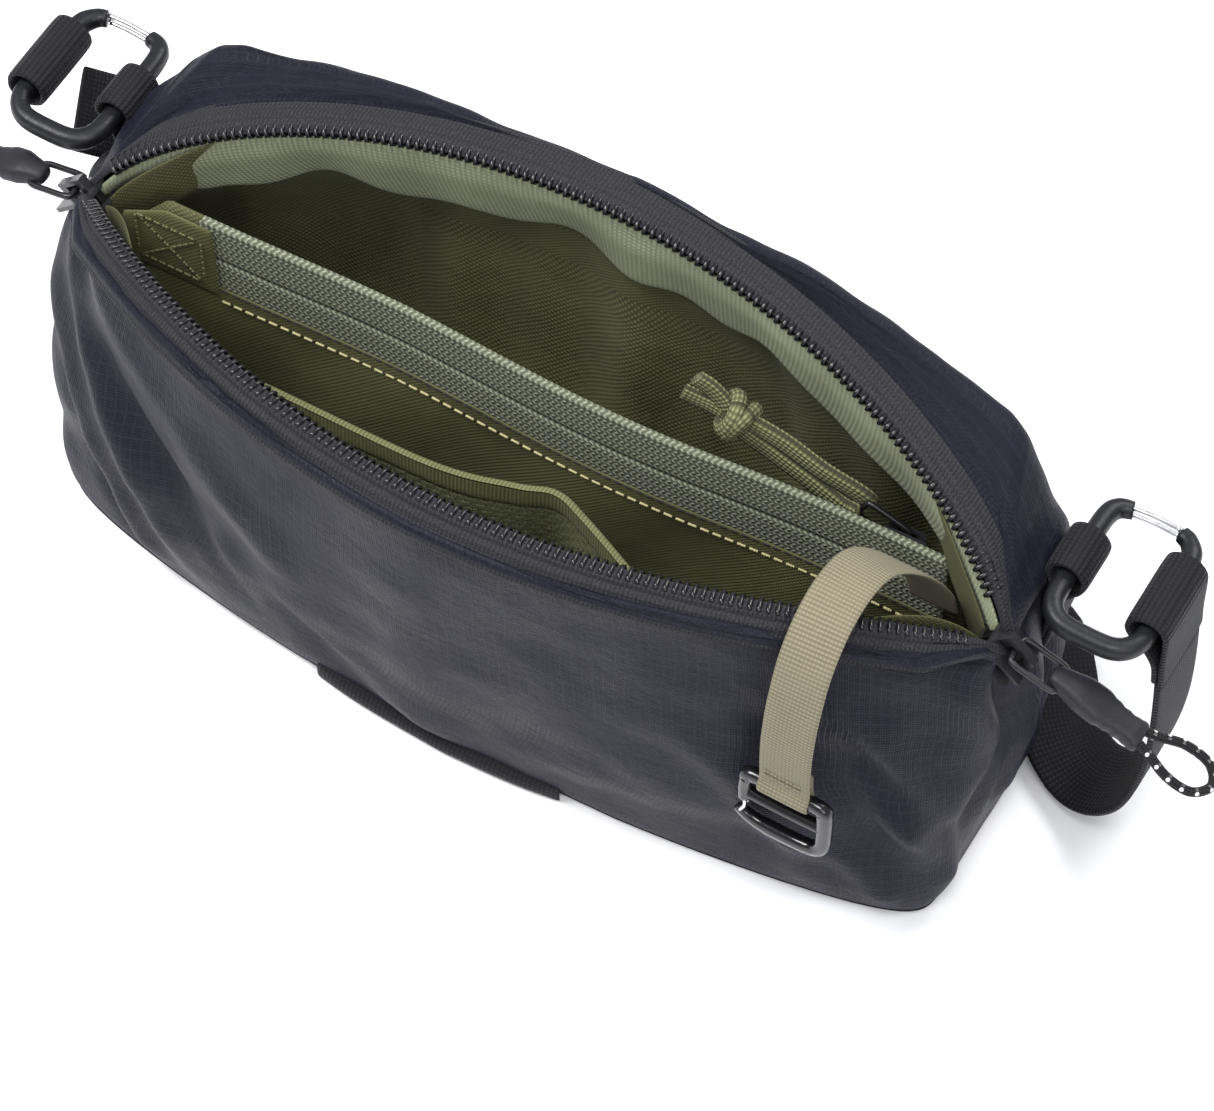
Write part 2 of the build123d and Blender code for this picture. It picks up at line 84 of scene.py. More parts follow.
# ------------------------------------------------------------------ materials
class Shade:
    """A material under construction: short calls that add nodes and link them."""

    def __init__(self, name, rough, metal=0.0, sheen=0.0, coat=0.0, level=0.5, sheen_rough=0.4,
                 sheen_tint=(1, 1, 1, 1), coat_rough=0.1):
        self.mat = bpy.data.materials.new(name)
        self.mat.use_nodes = True
        self.tree = self.mat.node_tree
        self.out = self.tree.nodes["Principled BSDF"]
        for key, value in (("Roughness", rough), ("Metallic", metal), ("Sheen Weight", sheen),
                           ("Coat Weight", coat), ("Specular IOR Level", level),
                           ("Sheen Roughness", sheen_rough), ("Sheen Tint", sheen_tint),
                           ("Coat Roughness", coat_rough)):
            self.out.inputs[key].default_value = value

    def add(self, kind, inputs, **props):
        n = self.tree.nodes.new(kind)
        for key, value in props.items():
            setattr(n, key, value)
        for key, value in inputs.items():
            if isinstance(value, bpy.types.NodeSocket):
                self.tree.links.new(value, n.inputs[key])
            else:
                n.inputs[key].default_value = value
        return n

    def place(self):
        return self.add("ShaderNodeTexCoord", {}).outputs["Object"]

    def cloth(self):
        """The cloth's own coordinates in millimetres: along, across."""
        a = self.add("ShaderNodeAttribute", {}, attribute_name="cloth", attribute_type="GEOMETRY")
        s = self.add("ShaderNodeSeparateXYZ", {0: a.outputs["Vector"]})
        return s.outputs[0], s.outputs[1], a.outputs["Vector"]

    def do(self, operation, a, b=0.0, c=0.0):
        return self.add("ShaderNodeMath", {0: a, 1: b, 2: c}, operation=operation).outputs[0]

    def wave(self, along, pitch, shift=0.0):
        """0 to 1, once every pitch."""
        turn = self.do("MULTIPLY_ADD", along, 2 * math.pi / pitch, shift)
        return self.do("MULTIPLY_ADD", self.do("SINE", turn), 0.5, 0.5)

    def noise(self, where, scale, detail=3.0, rough=0.55):
        n = self.add("ShaderNodeTexNoise", {"Vector": where, "Scale": scale, "Detail": detail,
                                            "Roughness": rough})
        return n.outputs[0]

    def spread(self, value, low, high):
        n = self.add("ShaderNodeMapRange", {"Value": value, "From Min": low, "From Max": high})
        return n.outputs[0]

    def blend(self, share, a, b):
        n = self.add("ShaderNodeMix", {"Factor": share}, data_type="RGBA")
        for socket, value in ((n.inputs[6], a), (n.inputs[7], b)):
            if isinstance(value, bpy.types.NodeSocket):
                self.tree.links.new(value, socket)
            else:
                socket.default_value = (*value, 1)
        return n.outputs[2]

    def colour(self, value):
        self.tree.links.new(value, self.out.inputs["Base Color"])

    def rough(self, value):
        self.tree.links.new(value, self.out.inputs["Roughness"])

    def bump(self, *layers):
        """Each layer is a height from 0 to 1 and what 1 stands for, in metres."""
        last = None
        for height, metres in layers:
            ins = {"Height": height, "Distance": metres, "Strength": 1.0}
            if last is not None:
                ins["Normal"] = last
            last = self.add("ShaderNodeBump", ins).outputs[0]
        self.tree.links.new(last, self.out.inputs["Normal"])


def between(low, high, share):
    """The colour that lies that share of the way from low to high."""
    return [(1 - share) * x + share * y for x, y in zip(low, high)]


def plain_weave(s, a, b, pitch):
    """Over and under of a plain weave."""
    odd = s.wave(a, 2 * pitch)
    over = s.do("MULTIPLY", s.wave(a, pitch), odd)
    return s.do("ADD", over, s.do("MULTIPLY", s.wave(b, pitch), s.do("SUBTRACT", 1.0, odd)))


def shell_material():
    """Dark coated ripstop, crinkled, with a faint grid and pale flecks."""
    s = Shade("shell_fabric", 0.62, sheen=0.015, sheen_rough=0.5, sheen_tint=(0.7, 0.7, 1, 1), level=0.13)
    a, b, both = s.cloth()
    weave = plain_weave(s, a, b, 0.62)
    here = s.place()
    ripstop = s.do("MAXIMUM", s.do("POWER", s.wave(a, 2.6), 9.0), s.do("POWER", s.wave(b, 2.6), 9.0))
    cloud = s.noise(here, 38, 4)
    flecks = s.noise(both, 1.9, 2)
    dark = s.blend(cloud, (0.0028, 0.003, 0.0062), (0.0066, 0.0068, 0.0128))
    body = s.blend(s.do("MULTIPLY", weave, 0.5), dark, (0.013, 0.0133, 0.0235))
    body = s.blend(s.do("MULTIPLY", ripstop, 0.22), body, (0.026, 0.026, 0.04))
    s.colour(s.blend(s.spread(flecks, 0.6, 0.95), body, (0.019, 0.019, 0.029)))
    s.rough(s.spread(cloud, -0.6, 1.7))
    crinkle = s.noise(here, 95, 4, 0.6)
    s.bump((crinkle, 0.0009), (s.noise(here, 320, 2), 0.00018), (weave, 0.00009), (ripstop, 0.00004))
    return s.mat


def lining_material(name, low, high, pitch):
    """Thin cloth with a small woven dot."""
    s = Shade(name, 0.78, sheen=0.03, level=0.2)
    a, b, _ = s.cloth()
    here = s.place()
    dots = s.do("MULTIPLY", s.wave(a, pitch), s.wave(b, pitch))
    odd = s.do("MULTIPLY", s.wave(a, pitch, math.pi), s.wave(b, pitch, math.pi))
    dobby = s.do("MAXIMUM", dots, odd)
    cloud = s.noise(here, 60, 3)
    base = s.blend(cloud, low, between(low, high, 0.45))
    s.colour(s.blend(s.do("MULTIPLY", s.do("POWER", dobby, 2.0), 0.85), base, high))
    s.bump((s.noise(here, 120, 3), 0.0005), (dobby, 0.00014))
    return s.mat


def ribbed_material(name, low, high, pitch, rough=0.7, cross=0.0, sheen=0.04, depth=0.00014):
    """Ribs that run across the cloth, as in webbing, grosgrain and zip tape."""
    s = Shade(name, rough, sheen=sheen, level=0.2)
    a, b, both = s.cloth()
    here = s.place()
    ribs = s.wave(a, pitch)
    yarn = s.wave(b, pitch * 0.9)
    zig = s.do("MULTIPLY", ribs, s.do("MULTIPLY_ADD", yarn, 0.6, 0.4))
    cloud = s.noise(here, 130, 3)
    base = s.blend(cloud, low, between(low, high, 0.4))
    tint = s.blend(zig, base, high)
    if cross:
        tint = s.blend(s.do("MULTIPLY", s.spread(s.noise(both, 2.6, 1), 0.52, 0.75), cross), tint,
                       [min(1, 2.4 * x) for x in high])
    s.colour(tint)
    s.bump((cloud, 0.0003), (zig, depth))
    return s.mat


def knit_material():
    """Chains of knitted loops along the divider's zip tape."""
    s = Shade("inner_zip_tape", 0.85, sheen=0.04, level=0.2)
    a, b, _ = s.cloth()
    here = s.place()
    slant = s.do("ABSOLUTE", s.do("SUBTRACT", s.do("FRACT", s.do("MULTIPLY", b, 1 / 2.6)), 0.5))
    chain = s.wave(s.do("MULTIPLY_ADD", slant, 1.6, a), 1.45)
    wale = s.wave(b, 1.3)
    loops = s.do("MULTIPLY", chain, s.do("MULTIPLY_ADD", wale, 0.5, 0.5))
    cloud = s.noise(here, 90, 3)
    base = s.blend(cloud, (0.07, 0.078, 0.052), (0.1, 0.11, 0.076))
    s.colour(s.blend(loops, base, (0.33, 0.35, 0.26)))
    s.bump((loops, 0.0004), (cloud, 0.0002))
    return s.mat


def plastic_material(name, tint, rough, coat, grain=900, depth=0.00003, edge_highlight=(0.035, 0.035, 0.037)):
    """Moulded plastic or painted metal with a fine grain, and a painted highlight that makes its sharp edges
    paler.
    """
    s = Shade(name, rough, coat=coat, level=0.3)
    here = s.place()
    fine = s.noise(here, grain, 2)
    cloud = s.noise(here, 70, 4)
    geometry = s.add("ShaderNodeNewGeometry", {})
    # painted highlight: sharp edges, found from pointiness, are made paler as though they catch the light
    edge = s.spread(geometry.outputs["Pointiness"], 0.53, 0.62)
    base = s.blend(cloud, tint, [1.6 * x + 0.0005 for x in tint])
    s.colour(s.blend(s.do("MULTIPLY", edge, 0.35), base, edge_highlight))
    s.rough(s.do("MULTIPLY_ADD", fine, 0.22, rough - 0.1))
    s.bump((fine, depth), (cloud, 0.0001))
    return s.mat


def metal_material(name, tint, rough):
    """Bare wire with fine streaks."""
    s = Shade(name, rough, metal=1.0)
    here = s.place()
    streak = s.noise(here, 500, 4, 0.7)
    s.colour(s.blend(streak, [0.75 * x for x in tint], tint))
    s.rough(s.do("MULTIPLY_ADD", streak, 0.2, rough - 0.08))
    s.bump((streak, 0.00002))
    return s.mat


def braid_material(name, low, high, pitch, fleck=None):
    """Diagonal crossing strands, with light flecks if asked for."""
    s = Shade(name, 0.75, sheen=0.04, level=0.22)
    a, b, _ = s.cloth()
    one = s.wave(s.do("ADD", a, b), pitch)
    two = s.wave(s.do("SUBTRACT", a, b), pitch)
    braid = s.do("MAXIMUM", s.do("MULTIPLY", one, s.do("SUBTRACT", 1.0, two)),
                 s.do("MULTIPLY", two, s.do("SUBTRACT", 1.0, one)))
    cloud = s.noise(s.place(), 200, 3)
    tint = s.blend(braid, s.blend(cloud, low, between(low, high, 0.3)), high)
    if fleck:
        dashes = s.do("POWER", s.wave(a, pitch * 2.6), 5.0)
        spots = s.do("MULTIPLY", dashes, s.do("POWER", s.wave(b, 3.45), 3.0))
        tint = s.blend(s.spread(spots, 0.35, 0.55), tint, fleck)
    s.colour(tint)
    s.bump((braid, 0.0004))
    return s.mat


M = {
    "shell": shell_material(),
    "lining": lining_material("lining_fabric", (0.03, 0.032, 0.0125), (0.175, 0.175, 0.082), 1.6),
    "panel": lining_material("divider_fabric", (0.042, 0.044, 0.016), (0.175, 0.175, 0.078), 1.3),
    "facing": ribbed_material("facing_grosgrain", (0.165, 0.18, 0.115), (0.31, 0.335, 0.225), 1.25),
    "webbing": ribbed_material("black_webbing", (0.0025, 0.0025, 0.0032), (0.013, 0.013, 0.016), 1.15,
                               depth=0.00022),
    "tape": ribbed_material("zip_tape", (0.006, 0.006, 0.008), (0.024, 0.024, 0.029), 1.0, cross=0.5),
    # the paler colour on the coil's sharp edges is a painted highlight
    "coil": plastic_material("zip_coil", (0.003, 0.003, 0.0035), 0.24, 0.25, edge_highlight=(0.02, 0.02, 0.022)),
    "knit": knit_material(),
    "elastic": ribbed_material("elastic_binding", (0.05, 0.053, 0.02), (0.18, 0.182, 0.085), 0.9),
    "net": braid_material("mesh", (0.055, 0.06, 0.026), (0.22, 0.23, 0.12), 0.7),
    "ribbon": ribbed_material("key_ribbon", (0.105, 0.094, 0.06), (0.25, 0.228, 0.152), 1.0, sheen=0.05),
    "gloss": plastic_material("gloss_hook", (0.002, 0.002, 0.0023), 0.18, 0.35),
    "steel": metal_material("steel_wire", (0.78, 0.78, 0.8), 0.22),
    "matte": plastic_material("matte_clip", (0.0045, 0.0048, 0.006), 0.42, 0.02, grain=1400, depth=0.00006),
    # the paler colour on the slider's sharp edges is a painted highlight
    "slider": plastic_material("slider_metal", (0.003, 0.003, 0.0035), 0.3, 0.2, edge_highlight=(0.05, 0.05, 0.055)),
    "rubber": plastic_material("grip_rubber", (0.009, 0.009, 0.012), 0.5, 0.0, grain=2200, depth=0.00008),
    "fleck": braid_material("flecked_cord", (0.003, 0.003, 0.0035), (0.018, 0.018, 0.02), 1.3,
                            (0.85, 0.85, 0.85)),
    "olive": braid_material("olive_braid", (0.045, 0.05, 0.018), (0.25, 0.26, 0.13), 2.3),
    "thread": ribbed_material("pale_thread", (0.36, 0.34, 0.16), (0.62, 0.58, 0.33), 0.6),
    "dark_thread": ribbed_material("dark_thread", (0.012, 0.012, 0.014), (0.05, 0.05, 0.055), 0.6),
}


# ------------------------------------------------------------------ mesh helpers
def finish_piece(o, body, stands_for=()):
    """Says which body a piece rides and which CAD nodes it stands for."""
    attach(o, body)
    if stands_for:
        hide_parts(*stands_for)


def mesh_piece(name, points, faces, material, cloth=None):
    """A smooth mesh from points in millimetres, with cloth coordinates if given."""
    mesh = bpy.data.meshes.new(name)
    mesh.from_pydata((np.asarray(points, float) / 1000).tolist(), [], faces)
    mesh.validate()
    if cloth is not None:
        at = mesh.attributes.new("cloth", "FLOAT_VECTOR", "POINT")
        flat = np.zeros((len(points), 3))
        flat[:, :2] = cloth
        at.data.foreach_set("vector", flat.astype(np.float32).ravel())
    mesh.materials.append(M[material])
    mesh.polygons.foreach_set("use_smooth", [True] * len(mesh.polygons))
    o = bpy.data.objects.new(name, mesh)
    scene.collection.objects.link(o)
    return o


def grid_faces(rows, cols, closed_cols=False, closed_rows=False, flip=False):
    """The four-sided faces of a rows by columns grid of points."""
    out = []
    for i in range(rows if closed_rows else rows - 1):
        for j in range(cols if closed_cols else cols - 1):
            a, b = i * cols + j, i * cols + (j + 1) % cols
            c, d = ((i + 1) % rows) * cols + (j + 1) % cols, ((i + 1) % rows) * cols + j
            out.append((d, c, b, a) if flip else (a, b, c, d))
    return out


def arc_lengths(line):
    """How far along the line each of its points is."""
    return np.concatenate([[0], np.cumsum(np.linalg.norm(np.diff(line, axis=0), axis=1))])


def read_at(want, known, line):
    """The line's points at the wanted values of what is known at each of its points."""
    return np.stack([np.interp(want, known, line[:, k]) for k in range(line.shape[1])], -1)


def unit(vectors):
    """The vectors, scaled to a length of 1."""
    return vectors / np.linalg.norm(vectors, axis=1)[:, None]


def ease(t):
    """A share from 0 to 1 that starts and ends gently."""
    return t * t * (3 - 2 * t)


def sheet_piece(name, grid, material, thick=0.0, flip=False, subdivide=0):
    """A cloth from a rows by columns grid of points, thickened inwards, with its own weave lines."""
    grid = np.asarray(grid, float)
    rows, cols = grid.shape[:2]
    along = np.array([arc_lengths(grid[i]) - arc_lengths(grid[i])[-1] / 2 for i in range(rows)])
    middle = grid[:, cols // 2]
    across = np.repeat(arc_lengths(middle)[:, None], cols, 1)
    cloth = np.stack([along, across], -1).reshape(-1, 2)
    o = mesh_piece(name, grid.reshape(-1, 3), grid_faces(rows, cols, flip=flip), material, cloth)
    if thick:
        m = o.modifiers.new("thickness", "SOLIDIFY")
        m.thickness, m.offset = thick / 1000, -1
    if subdivide:
        m = o.modifiers.new("smooth", "SUBSURF")
        m.levels = m.render_levels = subdivide
    return o


def smooth_line(points, count, closed=False):
    """Points evenly along a Catmull-Rom line through the given ones."""
    p = np.asarray(points, float)
    if closed:
        p = np.vstack([p[-1], p, p[0], p[1]])
    else:
        p = np.vstack([2 * p[0] - p[1], p, 2 * p[-1] - p[-2]])
    out = []
    for i in range(len(p) - 3):
        t = np.linspace(0, 1, 24, endpoint=False)[:, None]
        a, b, c, d = p[i:i + 4]
        square, cube = 2 * a - 5 * b + 4 * c - d, 3 * b - a - 3 * c + d
        out.append(0.5 * (2 * b + (c - a) * t + square * t ** 2 + cube * t ** 3))
    line = np.vstack(out + [p[-2:-1]])
    s = arc_lengths(line)
    want = np.linspace(0, s[-1], count + 1 if closed else count)
    line = read_at(want, s, line)
    return line[:-1] if closed else line


def ring_of(wide, thick, count=12, power=2.0):
    """A closed section: an ellipse at power 2, squarer above."""
    t = np.linspace(0, 2 * np.pi, count, endpoint=False)
    c, s = np.cos(t), np.sin(t)
    return np.stack([wide / 2 * np.sign(c) * np.abs(c) ** (2 / power),
                     thick / 2 * np.sign(s) * np.abs(s) ** (2 / power)], 1)


def sweep_points(line, section, side, closed=False, sizes=None):
    """The section carried along a line, its width along side. Returns points and cloth coordinates."""
    line = np.asarray(line, float)
    if closed:
        tangent = np.roll(line, -1, 0) - np.roll(line, 1, 0)
    else:
        tangent = np.gradient(line, axis=0)
    tangent = unit(tangent)
    side = np.broadcast_to(np.asarray(side, float), line.shape)
    wide = unit(side - (side * tangent).sum(1)[:, None] * tangent)
    deep = np.cross(tangent, wide)
    sizes = np.ones((len(line), 2)) if sizes is None else np.asarray(sizes, float)
    pts = (line[:, None] + wide[:, None] * (section[None, :, :1] * sizes[:, None, :1])
           + deep[:, None] * (section[None, :, 1:] * sizes[:, None, 1:]))
    around = arc_lengths(np.vstack([section, section[:1]]))[:-1]
    s = arc_lengths(line)
    cloth = np.stack(np.meshgrid(s, around, indexing="ij"), -1)
    return pts, cloth


def tube(line, section, side, closed=False, sizes=None):
    """The section carried along a line, capped unless closed: points, faces and cloth coordinates."""
    pts, cloth = sweep_points(line, section, side, closed, sizes)
    rows, cols = pts.shape[:2]
    faces = grid_faces(rows, cols, closed_cols=True, closed_rows=closed)
    if not closed:
        faces += [tuple(range(cols))[::-1], tuple((rows - 1) * cols + j for j in range(cols))]
    return pts.reshape(-1, 3), faces, cloth.reshape(-1, 2)


def rod(line, radius, side=(0, 0, 1), count=6, closed=False, squash=1.0):
    """A tube with a round section, such as a wire or a yarn."""
    return tube(line, ring_of(2 * radius, 2 * radius * squash, count), side, closed)


def many(name, tubes, material):
    """One mesh from several tubes."""
    points, faces, cloth, base = [], [], [], 0
    for p, f, c in tubes:
        points.append(p)
        faces += [tuple(base + i for i in face) for face in f]
        cloth.append(c)
        base += len(p)
    return mesh_piece(name, np.vstack(points), faces, material, np.vstack(cloth))


def sweep_piece(name, line, section, side, material, closed=False, sizes=None):
    """A mesh that is one tube."""
    return many(name, [tube(line, section, side, closed, sizes)], material)


def stitches(name, line, material, pitch, long, radius):
    """A row of single stitches that lie along a line."""
    line = np.asarray(line, float)
    s = arc_lengths(line)
    bits = []
    for start in np.arange(0.6, s[-1] - long, pitch):
        bits.append(rod(read_at(np.linspace(start, start + long, 5), s, line), radius, (0.1, 0.2, 1)))
    finish_piece(many(name, bits, material), ROOT)


# ------------------------------------------------------------------ the strap, one free cord
STRAP_ROUTE = [
    (148.4, 21, 75.5), (150, 20, 57), (149, 19, 37), (145, 19, 18), (134, 21, 5.5), (121, 30, 4.5),
    (113, 44, 4.5), (103, 55, 4.5), (60, 56, 4), (-60, 56, 4), (-94, 56, 4), (-99.5, 56, 4.5),
    (-99.5, 56, 11), (-94, 56, 11.3), (60, 56, 11.3), (94, 56, 11.3), (99.5, 56, 11.8), (99.5, 56, 18.2),
    (94, 56, 18.6), (-60, 56, 18.6), (-94, 56, 18.6), (-99.5, 56, 19), (-99.5, 56, 25.4), (-94, 56, 25.9),
    (60, 56, 25.9), (94, 56, 25.9), (99.5, 56, 26.4), (99.5, 56, 32.6), (94, 56, 33.1), (60, 56, 33.1),
    (-70, 56, 33), (-96, 56, 33.5), (-107, 53, 37), (-113, 48, 44), (-121, 42, 55), (-130, 31, 67),
    (-137.4, 21, 79),
]


def nurbs_line(points):
    """The smooth line of a NURBS through control points, read from a curve with no bevel."""
    data = bpy.data.curves.new("route", "CURVE")
    data.dimensions = "3D"
    spline = data.splines.new("NURBS")
    spline.points.add(len(points) - 1)
    for knot, p in zip(spline.points, points):
        knot.co = (*(x / 1000 for x in p), 1)
    spline.order_u = 3
    spline.use_endpoint_u = True
    spline.resolution_u = 10
    o = bpy.data.objects.new("route", data)
    scene.collection.objects.link(o)
    bpy.context.view_layer.update()
    mesh = bpy.data.meshes.new_from_object(o)
    line = np.array([v.co for v in mesh.vertices]) * 1000
    bpy.data.objects.remove(o)
    bpy.data.meshes.remove(mesh)
    return line


strap_line = nurbs_line(STRAP_ROUTE)
strap = sweep_piece("strap", strap_line, ring_of(20, 1.8, 16, 6.0), (0, 1, 0), "webbing")
finish_piece(strap, ROOT, ("strap_left_run", "strap_right_run", "strap_hank"))

tie_line = smooth_line([(0, 44.6, 4), (0, 44.6, 33), (0, 47, 36.1), (0, 65, 36.1), (0, 67.4, 33),
                        (0, 67.4, 4), (0, 65, 1.2), (0, 47, 1.2)], 64, True)
tie = sweep_piece("tie", tie_line, ring_of(16, 1.1, 14, 5.0), (1, 0, 0), "webbing", closed=True)
finish_piece(tie, ROOT, ("strap_tie",))


# ------------------------------------------------------------------ the mouth's two lips
HALF = 118.5
LIP = {"front": (-47.4, 112.4, 0.841, -1.6, 3.3), "back": (31.7, 122.2, 0.868, -1.4, 2.2)}


def lip_at(side, x):
    """A lip's line at the given places along the mouth: where the teeth are."""
    reach, top, bow, lean, flat = LIP[side]
    u = np.clip(np.abs(x) / HALF, 0, 1)
    y = -3 + (reach + 3) * (1 - u ** 2) ** bow
    z = 82 + (top - 82) * np.sqrt(1 - u ** flat) + lean * x / HALF * (1 - u ** 4)
    return np.stack([x, y, z], -1)


def lip_frame(side, line):
    """Tangent, outward and upward directions along a lip."""
    t = unit(np.gradient(line, axis=0))
    sign = -1 if side == "front" else 1
    out = np.stack([-t[:, 1], t[:, 0], 0 * t[:, 0]], 1)
    out = unit(out * np.sign(out[:, 1:2] * sign + 1e-9))
    rise = np.cross(t, out)
    rise *= np.sign(rise[:, 2:3])
    return t, out, rise


def lip_places(count, share=1.0):
    """Places along the mouth, closer together towards its corners."""
    end = np.pi / 2 * share
    return HALF * np.sin(np.linspace(-end, end, count))


def even_lip(side, pitch, limit):
    """Points a pitch apart along a lip, up to that far each side of its middle."""
    line = lip_at(side, lip_places(1201))
    s = arc_lengths(line)
    inside = s[np.abs(line[:, 0]) <= limit]
    return read_at(np.arange(inside[0], inside[-1], pitch), s, line)


def corner_taper(x):
    """How much of its width the tape keeps towards the mouth's corners."""
    return np.clip((HALF - np.abs(x)) / 14, 0.25, 1)[:, None]


TAPE_FALL = {"front": -0.62, "back": 0.06}


def tape_edge(side, line, reach):
    """Points that far outwards from the teeth, over the tape."""
    t, out, rise = lip_frame(side, line)
    near_end = np.clip((HALF - np.abs(line[:, 0])) / 26, 0, 1)[:, None]
    fall = TAPE_FALL[side] * near_end - 0.35 * (1 - near_end)
    way = unit(out + rise * fall)
    return line + way * reach, np.cross(t, way)


ZIP_PITCH = 2.0
# one element of the coil: outwards from the teeth, along the lip, and up
ELEMENT = [(1.9, -0.35, 0.78), (0.2, -0.25, 0.86), (-1.45, -0.1, 0.62), (-1.85, 0.1, 0.0),
           (-1.45, 0.3, -0.6), (0.2, 0.45, -0.8), (1.9, 0.5, -0.75)]
# the tape's section: outwards from the teeth, and how high it stands there
TAPE_SECTION = [(-0.9, -0.2), (0.4, 0.1), (1.0, 0.75), (1.7, 0.8), (2.3, 0.35), (2.9, 0.3), (3.4, 0.75),
                (4.0, 0.8), (4.6, 0.35), (5.4, 0.25), (6.4, 0.2), (7.6, 0.0), (8.6, -0.3)]


def zip_teeth(side):
    """A coil, one bent yarn for each element."""
    line = even_lip(side, ZIP_PITCH, 112.5)
    bits = []
    for p, along, out, rise in zip(line, *lip_frame(side, line)):
        path = np.array([p + out * a + along * b + rise * c for a, b, c in ELEMENT])
        bits.append(rod(smooth_line(path, 9), 0.56, along, 6, squash=0.9))
    finish_piece(many(f"teeth_{side}", bits, "coil"), ROOT, (f"zip_teeth_{side}",))


def zip_tape(side):
    """The tape between the teeth and the shell, with two rows of stitches."""
    x = lip_places(241, 0.985)
    line = lip_at(side, x)

    def over_tape(reach, height):
        base, normal = tape_edge(side, line, reach * corner_taper(x))
        return base + normal * np.sign(normal[:, 2:3]) * height

    grid = [over_tape(*at) for at in TAPE_SECTION]
    tape = sheet_piece(f"tape_{side}", grid, "tape", 0.7, flip=(side == "back"))
    finish_piece(tape, ROOT, (f"zip_tape_{side}",))
    for k, at in enumerate(((2.6, 0.45), (6.2, 0.3))):
        stitches(f"tape_stitch_{side}_{k}", over_tape(*at), "dark_thread", 2.1, 1.6, 0.2)


for side in ("front", "back"):
    zip_teeth(side)
    zip_tape(side)


# ------------------------------------------------------------------ outer shell
# the outline at four heights: half its length, how far its front and back stand out at the ends and in the
# middle, and the power that squares its corners
LEVELS = (0, 42, 86, 130)
HALF_LENGTH = (118, 120.5, 119.5, 119)
FRONT_END, FRONT_MIDDLE = (30, 29, 17, 12), (43.5, 51, 53, 54)
BACK_END, BACK_MIDDLE = (31, 34, 36, 36), (37, 43, 44, 43.5)
CORNER_POWER = (13, 10, 7, 6.5)


def outline(z, inset, count):
    """The bag's outline at a height, from the front's middle all round, as evenly spaced points."""
    sizes = (HALF_LENGTH, FRONT_END, FRONT_MIDDLE, BACK_END, BACK_MIDDLE)
    half, front_end, front_middle, back_end, back_middle = (np.interp(z, LEVELS, v) - inset for v in sizes)
    t = np.linspace(-np.pi / 2, 1.5 * np.pi, 4001)
    c, s = np.cos(t), np.sin(t)
    n = 2 / np.interp(z, LEVELS, CORNER_POWER)
    x = half * np.sign(c) * np.abs(c) ** n
    side = np.sign(s) * np.abs(s) ** n
    bow = 1 - (x / half) ** 2
    front = front_end + (front_middle - front_end) * bow
    back = back_end + (back_middle - back_end) * bow
    line = np.stack([x, np.where(side < 0, front, back) * side], 1)
    d = arc_lengths(line)
    return read_at(np.linspace(0, d[-1], count + 1), d, line)


STATIONS = 480
# the height that the cloth would reach above the outline if its shoulder weren't rounded
TOP_X = [-119, -114, -108, -102, -96, -88, -75, -55, 0, 55, 75, 88, 96, 102, 108, 114, 119]
TOP_BACK = [86, 97, 110, 117, 119.5, 119.5, 120, 121.5, 123.5, 122.5, 120.5, 118, 117.5, 114.5, 108, 97, 86]
TOP_FRONT = [83, 87, 91, 95, 99, 103, 106.5, 109, 109.5, 108, 105, 101.5, 98, 94.5, 91, 87, 83]


def top_height(x, y):
    """That height at points of the outline, blended from the front's to the back's round the ends."""
    back = np.interp(x, TOP_X, TOP_BACK)
    front = np.interp(x, TOP_X, TOP_FRONT)
    share = np.clip((y + 3) / 30 * 0.5 + 0.5, 0, 1)
    return front + (back - front) * ease(share)


# folds: place round the outline and height at both ends, width, and how far it stands out. Along the front
# the place is x, and the ends and the back continue it the same way round
FOLD_SCALE = 1.35
# the soft unevenness: waves per millimetre round and up, and size
UNEVEN = [(0.043, 0.061, 0.7), (0.087, -0.05, 0.5), (0.14, 0.12, 0.3), (0.21, -0.19, 0.22),
          (0.33, 0.27, 0.12)]
FOLDS = [
    (-122, 92, -74, 22, 5.5, 2.6), (-112, 84, -60, 30, 4.5, -2.2), (-128, 70, -84, 8, 5.0, 2.4),
    (-118, 58, -92, 4, 4.0, -2.0), (-104, 96, -36, 52, 6.5, 1.8), (-88, 62, -30, 18, 7.0, -1.5),
    (-60, 40, 0, 8, 8.0, 1.4), (66, 60, 92, 12, 6.0, 1.9), (78, 74, 108, 30, 4.5, -2.0),
    (92, 88, 116, 40, 5.0, 2.6), (100, 66, 124, 20, 4.0, -2.2), (106, 50, 128, 4, 4.5, 2.4),
    (84, 34, 112, 6, 5.0, 1.8), (20, 20, 74, 34, 9.0, 1.2), (124, 84, 138, 26, 4.5, 2.2),
    (136, 90, 132, 30, 4.0, -2.2), (146, 84, 150, 20, 5.0, 2.4), (160, 90, 158, 30, 4.5, -2.0),
    (172, 96, 176, 44, 5.5, 2.2), (-136, 86, -132, 18, 4.5, 2.0), (-146, 88, -150, 24, 4.5, -2.0),
    (-158, 92, -162, 30, 5.0, 2.4), (-172, 100, -186, 50, 5.5, 2.6), (190, 90, 230, 50, 7.0, 2.0),
    (-200, 96, -240, 46, 7.0, 2.0), (-250, 60, -300, 90, 9.0, -1.4), (250, 40, 300, 80, 9.0, 1.4),
]


